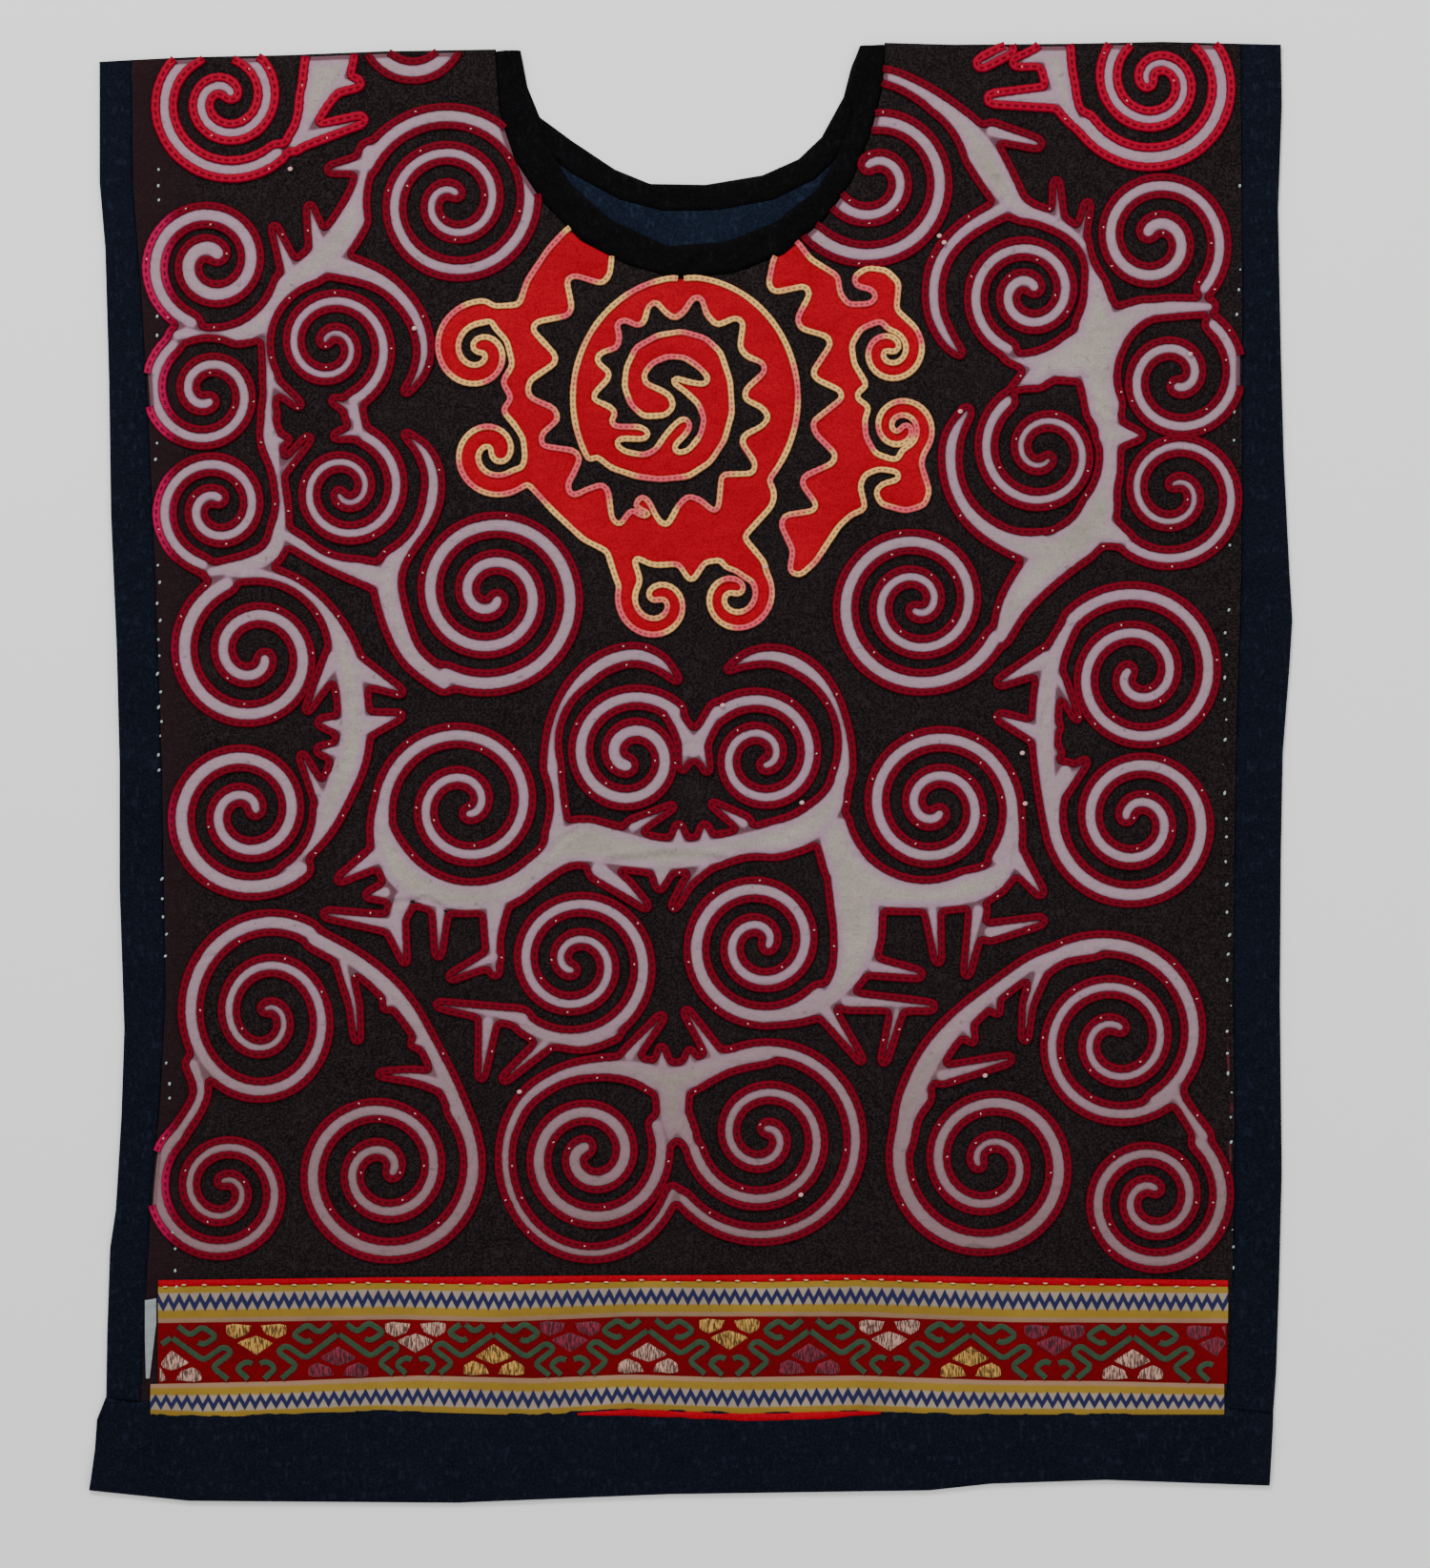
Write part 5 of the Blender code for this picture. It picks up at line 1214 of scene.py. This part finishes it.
def cord_paths(field):
    """Closed and open runs along the turned-in edges."""
    paths = []
    for loop in contour_loops(field):
        p = np.array(loop)
        if len(p) < 24:
            continue
        own = read_field(field, "whole", p[:, 0], p[:, 1]) > TRIM_GAP
        if own.all():
            paths.append((p, True))
            continue
        start = int(np.argmin(own))
        p, own = np.roll(p, -start, axis=0), np.roll(own, -start)
        edges = np.flatnonzero(np.diff(np.concatenate(([0], own.astype(int), [0]))))
        for a, b in zip(edges[::2], edges[1::2]):
            if b - a > 5:
                run = p[a:b]
                first, last = run[0] - run[3], run[-1] - run[-4]
                first, last = (3.0 * v / max(np.hypot(*v), TINY) for v in (first, last))
                paths.append((np.concatenate(([run[0] + first], run, [run[-1] + last])), False))
    return paths


def rings_along(path, closed):
    """Even ring centres and their sideways directions."""
    p = np.concatenate((path, path[:1])) if closed else path
    run = np.concatenate(([0.0], np.cumsum(np.hypot(*np.diff(p, axis=0).T))))
    count = max(6, int(run[-1] / CORD_GRAIN))
    at = np.linspace(0, run[-1], count + 1)
    ring = np.stack((np.interp(at, run, p[:, 0]), np.interp(at, run, p[:, 1])), axis=1)
    for _ in range(2):
        one_more = ((1, 1), (0, 0))
        around = np.pad(ring[:-1], one_more, mode="wrap") if closed else np.pad(ring, one_more, mode="edge")
        mean = 0.25 * around[:-2] + 0.5 * around[1:-1] + 0.25 * around[2:]
        ring = np.concatenate((mean, mean[:1])) if closed else mean
    ahead = np.gradient(ring, axis=0)
    if closed:
        ahead[0] = ahead[-1] = ring[1] - ring[-2]
    ahead /= np.maximum(np.hypot(ahead[:, 0], ahead[:, 1])[:, None], TINY)
    side = np.stack((ahead[:, 1], -ahead[:, 0]), axis=1)
    return ring, side, at


# Section of a cord: (across, up), in half widths and in heights
CORD_ROUND = [(-0.92, 0.0), (-1.0, 0.38), (-0.66, 0.92), (-0.22, 0.86), (0.22, 0.86), (0.66, 0.92),
              (1.0, 0.38), (0.92, 0.0)]


def cord(name, paths, half_width, height, link, mat, base=FRONT_TOP - 0.0002):
    """One mesh of chain cord along several paths."""
    section = np.array(CORD_ROUND)
    m = len(section)
    points, faces, maps, start = [], [], [], 0
    for n, (path, closed) in enumerate(paths):
        ring, side, at = rings_along(path, closed)
        links = max(1, round(at[-1] / link))
        turn = at / at[-1] * links
        wide = half_width * (1 + 0.14 * soft_noise(at, np.full_like(at, n * 7.0), 9.0, 31))
        wave = np.cos(2 * math.pi * turn)[:, None]
        off = section[None, :, 0] * wide[:, None] * (1 + 0.06 * wave)
        up = section[None, :, 1] * height
        hump = np.abs(section[None, :, 0]) < 0.3
        up = up * np.where(hump, 0.86 + 0.14 * wave, 1.0 + 0.05 * wave)
        x = ring[:, :1] + side[:, :1] * off
        y = ring[:, 1:] + side[:, 1:] * off
        z = base + up
        over = np.clip(ring[:, 1:] - SHOULDER_ROW, -8.0, 0.0) if not closed else np.zeros((len(ring), 1))
        z = z + over * 0.00008
        points.append(to_metres(x, y, z))
        maps.append(np.stack((np.broadcast_to(turn[:, None], x.shape).ravel(),
                              np.broadcast_to(np.linspace(0, 1, m)[None, :], x.shape).ravel()), axis=1))
        number = start + np.arange(x.size).reshape(x.shape)
        a, b = number[:-1], number[1:]
        q = np.stack((a, np.roll(a, -1, axis=1), np.roll(b, -1, axis=1), b), axis=-1)
        faces += q.reshape(-1, 4).tolist()
        if not closed:
            faces += [number[0].tolist(), number[-1][::-1].tolist()]
        start += x.size
    piece = cloth_piece(name, np.concatenate(points), faces, mat, uv=np.concatenate(maps))
    print(name, "metres", round(sum(np.hypot(*np.diff(p, axis=0).T).sum() for p, _ in paths) * PHOTO_PIXEL, 2),
          "triangles", triangles_in(piece))
    return piece


# %% Cords on the cream and red cloth
CRIMSON_PLACES = [(60, 200, 165, 385), (40, 1020, 178, 1300)]     # top, left, foot, right of two corners


def in_crimson(path):
    x, y = path[:, 0].mean(), path[:, 1].mean()
    return any(left < x < right and y < foot for _, left, foot, right in CRIMSON_PLACES)


cream_paths = cord_paths(cream_drawing)
crimson = [row for row in cream_paths if in_crimson(row[0])]
dark = sorted((row for row in cream_paths if not in_crimson(row[0])), key=lambda row: row[0][:, 0].mean())
thirds = [[], [], []]
for row in sorted(dark, key=lambda row: -len(row[0])):
    min(thirds, key=lambda group: sum(len(p) for p, _ in group)).append(row)
for n, group in enumerate(thirds):
    if group:
        cord(f"dark_cord_{n + 1}", group, half_width=4.4, height=0.0023, link=8.4, mat=dark_cord)
if crimson:
    cord("crimson_cord", crimson, half_width=4.9, height=0.0028, link=8.4, mat=crimson_cord)
cord("yellow_cord", cord_paths(red_drawing), half_width=3.4, height=0.0024, link=6.0, mat=yellow_cord)

# %% [markdown]
# ## Ribbons and woven band
# Two ribbons with a woven zigzag frame a red band. The zigzag belongs to the weave, so it is
# drawn by sums on the ribbon's own map: eleven pixels of the photo for each tooth. The band's
# green hooks and small half flowers are floated thread on top, so they are made as raised
# pieces. Their one repeat was read off the photo.

# %% Ribbon cloth
TOOTH = 11.0                # one tooth of the zigzag, in photo pixels
RIBBON_TOP = FRONT_TOP + 0.0011


def ribbon_cloth():
    mat, tree, shader = cloth_shader("zigzag_ribbon", roughness=0.85, sheen=0.1)
    wear = use_group(tree, wear_group)
    uv = tree.nodes.new("ShaderNodeUVMap")
    uv.uv_map = "along"
    along, over, _ = split(tree, uv.outputs["UV"])
    wander = maths(tree, "MULTIPLY", noise_mask(tree, own_place(tree), 0.004, 2.0), 0.06)
    over = maths(tree, "ADD", over, maths(tree, "SUBTRACT", wander, 0.03))
    tooth = maths(tree, "MULTIPLY", maths(tree, "PINGPONG", along, 0.5), 2.0)
    line = maths(tree, "ADD", maths(tree, "MULTIPLY", tooth, 0.28), 0.29)
    gap = maths(tree, "ABSOLUTE", maths(tree, "SUBTRACT", over, line))
    zigzag = maths(tree, "SUBTRACT", 1.0, smooth_step(tree, gap, low=0.10, high=0.14))
    yellow = blend_colour(tree, wear["Fade"], (0.150, 0.088, 0.008), (0.300, 0.185, 0.020))
    white = blend_colour(tree, wear["Fade"], (0.170, 0.130, 0.095), (0.330, 0.265, 0.200))
    pale = blend_colour(tree, wear["Fade"], (0.190, 0.110, 0.062), (0.300, 0.170, 0.105))
    colour = blend_colour(tree, smooth_step(tree, over, low=0.15, high=0.20), yellow, white)
    colour = blend_colour(tree, smooth_step(tree, over, low=0.60, high=0.68), colour, yellow)
    colour = blend_colour(tree, smooth_step(tree, over, low=0.84, high=0.90), colour, pale)
    colour = blend_colour(tree, zigzag, colour, (0.010, 0.011, 0.055))
    tree.links.new(colour, shader.inputs["Base Color"])
    threads = maths(tree, "SINE", maths(tree, "MULTIPLY", along, 5 * 2 * math.pi))
    ridge = maths(tree, "ADD", maths(tree, "MULTIPLY", threads, 0.25), zigzag)
    under = bump(tree, wear["Crinkle"], distance=0.0005, strength=0.7)
    tree.links.new(bump(tree, ridge, distance=0.00025, strength=0.7, under=under), shader.inputs["Normal"])
    return mat


def plain_thread(name, deep, bright, roughness=0.6):
    mat, tree, shader = cloth_shader(name, roughness, sheen=0.15)
    colour = blend_colour(tree, noise_mask(tree, own_place(tree), 0.003, 3.0), deep, bright)
    tree.links.new(colour, shader.inputs["Base Color"])
    strands = noise_mask(tree, own_place(tree), 0.0009, 2.0)
    tree.links.new(bump(tree, strands, distance=0.0003, strength=0.6), shader.inputs["Normal"])
    return mat


zigzag_cloth = ribbon_cloth()
tape_cloth = plain_thread("pale_tape", (0.160, 0.185, 0.190), (0.300, 0.330, 0.330), roughness=0.85)

# %% Laid ribbons
TRIMS = [
    # node, first line, second line, left end, right end, steps across, cloth, slot
    ("red_edge_strip", RED_EDGE_TOP, UPPER_RIBBON_TOP, 166, 1288, 4, red_cotton, "red_cotton"),
    ("zigzag_ribbon_upper", UPPER_RIBBON_TOP, UPPER_RIBBON_FOOT, 166, 1288, 12, zigzag_cloth, "woven_ribbon"),
    ("woven_band", UPPER_RIBBON_FOOT, LOWER_RIBBON_TOP, 166, 1287, 14, band_cotton, "red_woven_band"),
    ("zigzag_ribbon_lower", LOWER_RIBBON_FOOT, LOWER_RIBBON_TOP, 158, 1284, 12, zigzag_cloth, "woven_ribbon"),
    ("red_piping", LOWER_RIBBON_FOOT, PIPING_FOOT, 606, 924, 4, red_cotton, "red_cotton"),
]
for node, first, second, left, right, across, cloth, slot_name in TRIMS:
    piece = band(node + "_cloth", part_of(first, left, right), part_of(second, left, right), across, step=3.0,
                 low=RIBBON_TOP - 0.0007, high=RIBBON_TOP, mat=cloth, ripple=0.0006, map_period=TOOTH)
    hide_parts(node)
tab = band("pale_tab_cloth", [(152, 1364), (152, 1404), (153, 1446)], [(164, 1362), (164, 1388), (157, 1446)],
           across=4, step=3.0, low=FRONT_TOP + 0.0003, high=FRONT_TOP + 0.0009, mat=tape_cloth, ripple=0.0004)
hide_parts("pale_tab")

# %% [markdown]
# The hooks and the half flowers repeat about every 169 pixels. A chevron and a hook go with every
# second flower and a heart with the ones between, mirrored about the flower. They are set down
# once about the middle line of the band, and each copy follows the band up and down.

# %% Green hooks
FLOWER_PLACES = [180, 269, 355, 436, 518, 598, 680, 765, 849, 933, 1018, 1106, 1188, 1276]
CHEVRON = [(0, -17), (34, 8), (55, -7), (64, 0), (43, 15), (64, 32)]
HOOK = [(4, -31), (20, -18), (32, -28), (48, -17), (33, -8), (27, -12)]
HEART = [(3, 13), (10, 9), (21, 17), (3, 33)]


def band_limits(across):
    """Top, middle and foot of the band."""
    top, foot = line_y(UPPER_RIBBON_FOOT, across), line_y(LOWER_RIBBON_TOP, across)
    return top, (top + foot) / 2, foot


def band_runs(shape, centre, mirror):
    """One line of the repeat, laid on the band and cut at its edges."""
    p = np.array(shape, float) * (-1.0 if mirror else 1.0, 1.0)
    p = resample(p, int(np.hypot(*np.diff(p, axis=0).T).sum() / 1.2) + 2)
    across = p[:, 0] + centre
    top, middle, foot = band_limits(across)
    down = middle + p[:, 1]
    free = (down > top + 2) & (down < foot - 2) & (across > 169) & (across < 1284)
    edges = np.flatnonzero(np.diff(np.concatenate(([0], free.astype(int), [0]))))
    places = np.stack((across, down), axis=1)
    return [(places[a:b], False) for a, b in zip(edges[::2], edges[1::2]) if b - a > 6]


green_thread = plain_thread("green_thread", (0.009, 0.026, 0.012), (0.026, 0.068, 0.030))
green_runs = []
for n, centre in enumerate(FLOWER_PLACES):
    for mirror in (False, True):
        for shape in ((CHEVRON, HOOK) if n % 2 == 0 else (HEART,)):
            green_runs += band_runs(shape, centre, mirror)
cord("green_hooks", green_runs, half_width=2.9, height=0.0006, link=8.0, mat=green_thread,
     base=RIBBON_TOP + 0.0001)

# %% Half flowers
PETALS = [
    [(0, -34), (20, -21), (9, -16), (0, -13), (-9, -16), (-20, -21)],
    [(5, -3), (9, -12), (22, -17), (31, -12), (32, -3), (24, -1)],
    [(-5, -3), (-9, -12), (-22, -17), (-31, -12), (-32, -3), (-24, -1)],
]
FLOWER_THREADS = {
    "pale_pink": ((0.210, 0.090, 0.070), (0.460, 0.270, 0.200)),
    "crimson": ((0.080, 0.005, 0.014), (0.180, 0.009, 0.028)),
    "gold": ((0.190, 0.085, 0.012), (0.480, 0.260, 0.050)),
}
FLOWER_ORDER = ["pale_pink", "gold", "crimson", "pale_pink", "gold", "crimson", "pale_pink", "gold",
                "crimson", "pale_pink", "gold", "crimson", "pale_pink", "crimson"]


def satin_pads(name, outlines, height, mat):
    """Low rounded pads of satin stitch, one for each outline."""
    points, faces, start = [], [], 0
    for outline in outlines:
        p = resample(outline + outline[:1], 25)[:-1]
        centre = p.mean(axis=0)
        for inward, lift in ((0.0, 0.0), (0.12, 0.7), (0.5, 1.0)):
            ring = p + (centre - p) * inward
            points.append(to_metres(ring[:, 0], ring[:, 1], RIBBON_TOP + height * lift))
        points.append(to_metres(centre[:1], centre[1:], RIBBON_TOP + height))
        n = len(p)
        for ring in (0, 1):
            a = start + ring * n
            faces += [[a + i, a + (i + 1) % n, a + n + (i + 1) % n, a + n + i] for i in range(n)]
        a = start + 2 * n
        faces += [[a + i, a + (i + 1) % n, start + 3 * n] for i in range(n)]
        start += 3 * n + 1
    flat = np.concatenate(points)
    a, b, c = (flat[i] for i in faces[0][:3])
    if np.cross(b - a, c - a)[2] < 0:
        faces = [face[::-1] for face in faces]
    piece = cloth_piece(name, flat, faces, mat)
    print(name, "pads", len(outlines), "triangles", triangles_in(piece))
    return piece


def satin_thread(name, deep, bright):
    mat, tree, shader = cloth_shader(name, roughness=0.45, sheen=0.2)
    place = own_place(tree)
    strand = noise_mask(tree, place, 0.0013, 2.0, (2.6, 0.35, 1.0))
    shown = smooth_step(tree, strand, low=0.44, high=0.58)
    colour = blend_colour(tree, shown, tuple(v * 0.35 for v in deep), bright)
    tree.links.new(colour, shader.inputs["Base Color"])
    tree.links.new(bump(tree, strand, distance=0.0006, strength=0.8), shader.inputs["Normal"])
    return mat


for label, (deep, bright) in FLOWER_THREADS.items():
    outlines = []
    for n, (centre, kind) in enumerate(zip(FLOWER_PLACES, FLOWER_ORDER)):
        if kind != label:
            continue
        top, _, foot = band_limits(centre)
        for petal in PETALS:
            if n % 2 == 0:
                shape = [(centre + x, foot - 1 + y) for x, y in petal]
            else:
                shape = [(centre - x, top + 1 - y) for x, y in petal]
            outlines.append([(min(max(x, 168.0), 1285.0), y) for x, y in shape])
    satin_pads("flowers_" + label, outlines, height=0.0006, mat=satin_thread(label + "_satin", deep, bright))

# %% [markdown]
# ## Running stitches and knots
# Big stitches hold the edges of the front to the strips. Each is the same small bead of
# thread, stretched and set down at a place read off the photo, and no two are alike.

# %% Stitches
LEFT_STITCHES = [178, 195, 210, 332, 352, 465, 482, 593, 611, 633, 651, 671, 688, 707, 726, 742, 757, 772,
                 792, 808, 922, 943, 962, 980, 1003, 1115, 1137, 1152, 1293, 1310, 1333, 1350]
RIGHT_STITCHES = [195, 283, 304, 330, 352, 380, 406, 432, 462, 487, 504, 527, 550, 572, 640, 664, 687, 711, 734,
                  755, 776, 802, 832, 859, 878, 904, 928, 957, 981, 1001, 1028, 1055, 1082, 1105, 1126, 1146,
                  1172, 1198, 1290, 1308, 1330]
KNOTS = [(305, 178), (985, 248), (990, 255), (758, 740), (1007, 432), (1072, 790), (1075, 843), (841, 842),
         (1248, 372), (435, 345), (1033, 1128), (803, 595), (545, 1145), (840, 1253)]
BEAD_HEIGHT = 0.0005        # half the height of a stitch
EDGE_STITCH_COUNT = 58      # yellow stitches along the upper ribbon
EDGE_STITCH_STEP = 19.2     # from one to the next, in photo pixels

bpy.ops.object.select_all(action="DESELECT")
bpy.ops.mesh.primitive_uv_sphere_add(segments=8, ring_count=6, radius=1.0)
seed_bead = bpy.context.object
bead_points = np.array([v.co[:] for v in seed_bead.data.vertices])
bead_faces = [list(face.vertices) for face in seed_bead.data.polygons]
bpy.data.objects.remove(seed_bead)


def beads(name, rows, mat):
    """Copies of the bead. Each row is across, down, height, half length, half width, turn."""
    points, faces = [], []
    for n, (across, down, z, length, width, turn) in enumerate(rows):
        p = bead_points * (length, width, BEAD_HEIGHT)
        p = np.stack((p[:, 0] * math.cos(turn) - p[:, 1] * math.sin(turn),
                      p[:, 0] * math.sin(turn) + p[:, 1] * math.cos(turn), p[:, 2]), axis=1)
        points.append(p + to_metres([across], [down], z))
        faces += [[v + n * len(bead_points) for v in face] for face in bead_faces]
    piece = cloth_piece(name, np.concatenate(points), faces, mat)
    print(name, len(rows), "beads", triangles_in(piece), "triangles")
    return piece


white_thread = plain_thread("white_thread", (0.160, 0.270, 0.270), (0.520, 0.580, 0.560))
pink_thread = plain_thread("pink_thread", (0.420, 0.200, 0.190), (0.700, 0.420, 0.400))
yellow_thread = plain_thread("yellow_thread", (0.300, 0.220, 0.120), (0.620, 0.480, 0.300))
LEFT_STITCH_LINE = [(168, 178), (164, 480), (168, 800), (176, 1100), (184, 1350)]
RIGHT_STITCH_LINE = [(1302, 195), (1284, 760), (1293, 1330)]
rows = []
for places, line in ((LEFT_STITCHES, LEFT_STITCH_LINE), (RIGHT_STITCHES, RIGHT_STITCH_LINE)):
    for down in places:
        across = float(line_x(line, down)) + 5 * float(soft_noise(down, 0.0, 9.0, 41))
        size = 0.0009 + 0.0007 * float(soft_noise(down, 5.0, 7.0, 43))
        slant = 1.2 + 1.6 * float(soft_noise(down, 9.0, 6.0, 47))
        rows.append((across, down, FRONT_TOP + 0.0006, size, 0.00065, slant))
beads("running_stitches", rows, white_thread)
beads("pink_knots", [(a, d, FRONT_TOP + 0.0026, 0.0013, 0.0011, 0.3) for a, d in KNOTS], pink_thread)
rows = []
for n in range(EDGE_STITCH_COUNT):
    across = 176 + n * EDGE_STITCH_STEP + 6 * float(lattice(n, 3, 51) - 0.5)
    down = float(line_y(UPPER_RIBBON_TOP, across)) - 1 + 3 * float(lattice(n, 5, 51) - 0.5)
    rows.append((across, down, RIBBON_TOP + 0.0001, 0.0013, 0.0004, 0.3 * float(lattice(n, 7, 51) - 0.5)))
beads("edge_stitches", rows, yellow_thread)

# %% Glints on the cords: pale thread beads for couching stitches, their paleness a painted glint
# Painted glints: pale beads where couching stitches catch the light.
rows = []
for n, (path, closed) in enumerate(cream_paths):
    for m in range(0, len(path), 34):
        if lattice(n, m, 61) > 0.66:
            across, down = path[(m + int(20 * lattice(m, n, 63))) % len(path)]
            rows.append((across + 3 * (lattice(n, m, 67) - 0.5), down, FRONT_TOP + 0.0019, 0.0006, 0.0004,
                         3.0 * float(lattice(n, m, 69))))
beads("worn_threads", rows, pink_thread)

# %% Long loose stitches
wine_thread = plain_thread("wine_thread", (0.030, 0.001, 0.004), (0.090, 0.003, 0.010))
seam_stitch = np.array([(1290, 1060), (1288, 1110), (1292, 1160), (1290, 1205), (1293, 1240)], float)
side_stitch = np.array([(1265, 540), (1258, 520), (1245, 500)], float)
cord("long_stitches", [(seam_stitch, False), (side_stitch, False)], half_width=1.6, height=0.0009,
     link=8.0, mat=wine_thread)

# %% [markdown]
# ## Floor, light and camera
# The tunic lies on a white sheet and is seen from straight above. Broad soft light keeps the
# dark cloth readable, and one lamp beyond the neck lets the cords cast a short shadow down.

# %% Floor, light and camera
bpy.ops.mesh.primitive_plane_add(size=6.0, location=(0.0, 0.0, -0.0003))
floor = bpy.context.object
floor.name = "floor"
white = bpy.data.materials.new("white_floor")
white.use_nodes = True
white.node_tree.nodes["Principled BSDF"].inputs["Base Color"].default_value = (0.93, 0.93, 0.93, 1.0)
white.node_tree.nodes["Principled BSDF"].inputs["Roughness"].default_value = 0.9
floor.data.materials.append(white)

world = bpy.data.worlds.new("soft_room")
bpy.context.scene.world = world
world.use_nodes = True
world.node_tree.nodes["Background"].inputs["Color"].default_value = (1.0, 1.0, 1.0, 1.0)
world.node_tree.nodes["Background"].inputs["Strength"].default_value = 0.80


def soft_lamp(name, place, size, power):
    light = bpy.data.lights.new(name, "AREA")
    light.shape = "DISK"
    light.size = size
    light.energy = power
    lamp = bpy.data.objects.new(name, light)
    bpy.context.scene.collection.objects.link(lamp)
    lamp.location = place
    lamp.rotation_euler = (-Vector(place)).to_track_quat("-Z", "Y").to_euler()
    return lamp


soft_lamp("lamp_beyond_neck", (-0.5, 1.5, 1.5), size=0.7, power=34.0)
soft_lamp("lamp_right", (1.4, 0.1, 1.8), size=1.2, power=10.0)

view_camera = bpy.data.cameras.new("view_from_above")
view_camera.lens = 85.0
view_camera.sensor_fit = "VERTICAL"
view_camera.sensor_height = 36.0
camera = bpy.data.objects.new("view_from_above", view_camera)
bpy.context.scene.collection.objects.link(camera)
camera.location = (0.0120, -0.0054, 1.8285)
bpy.context.scene.camera = camera
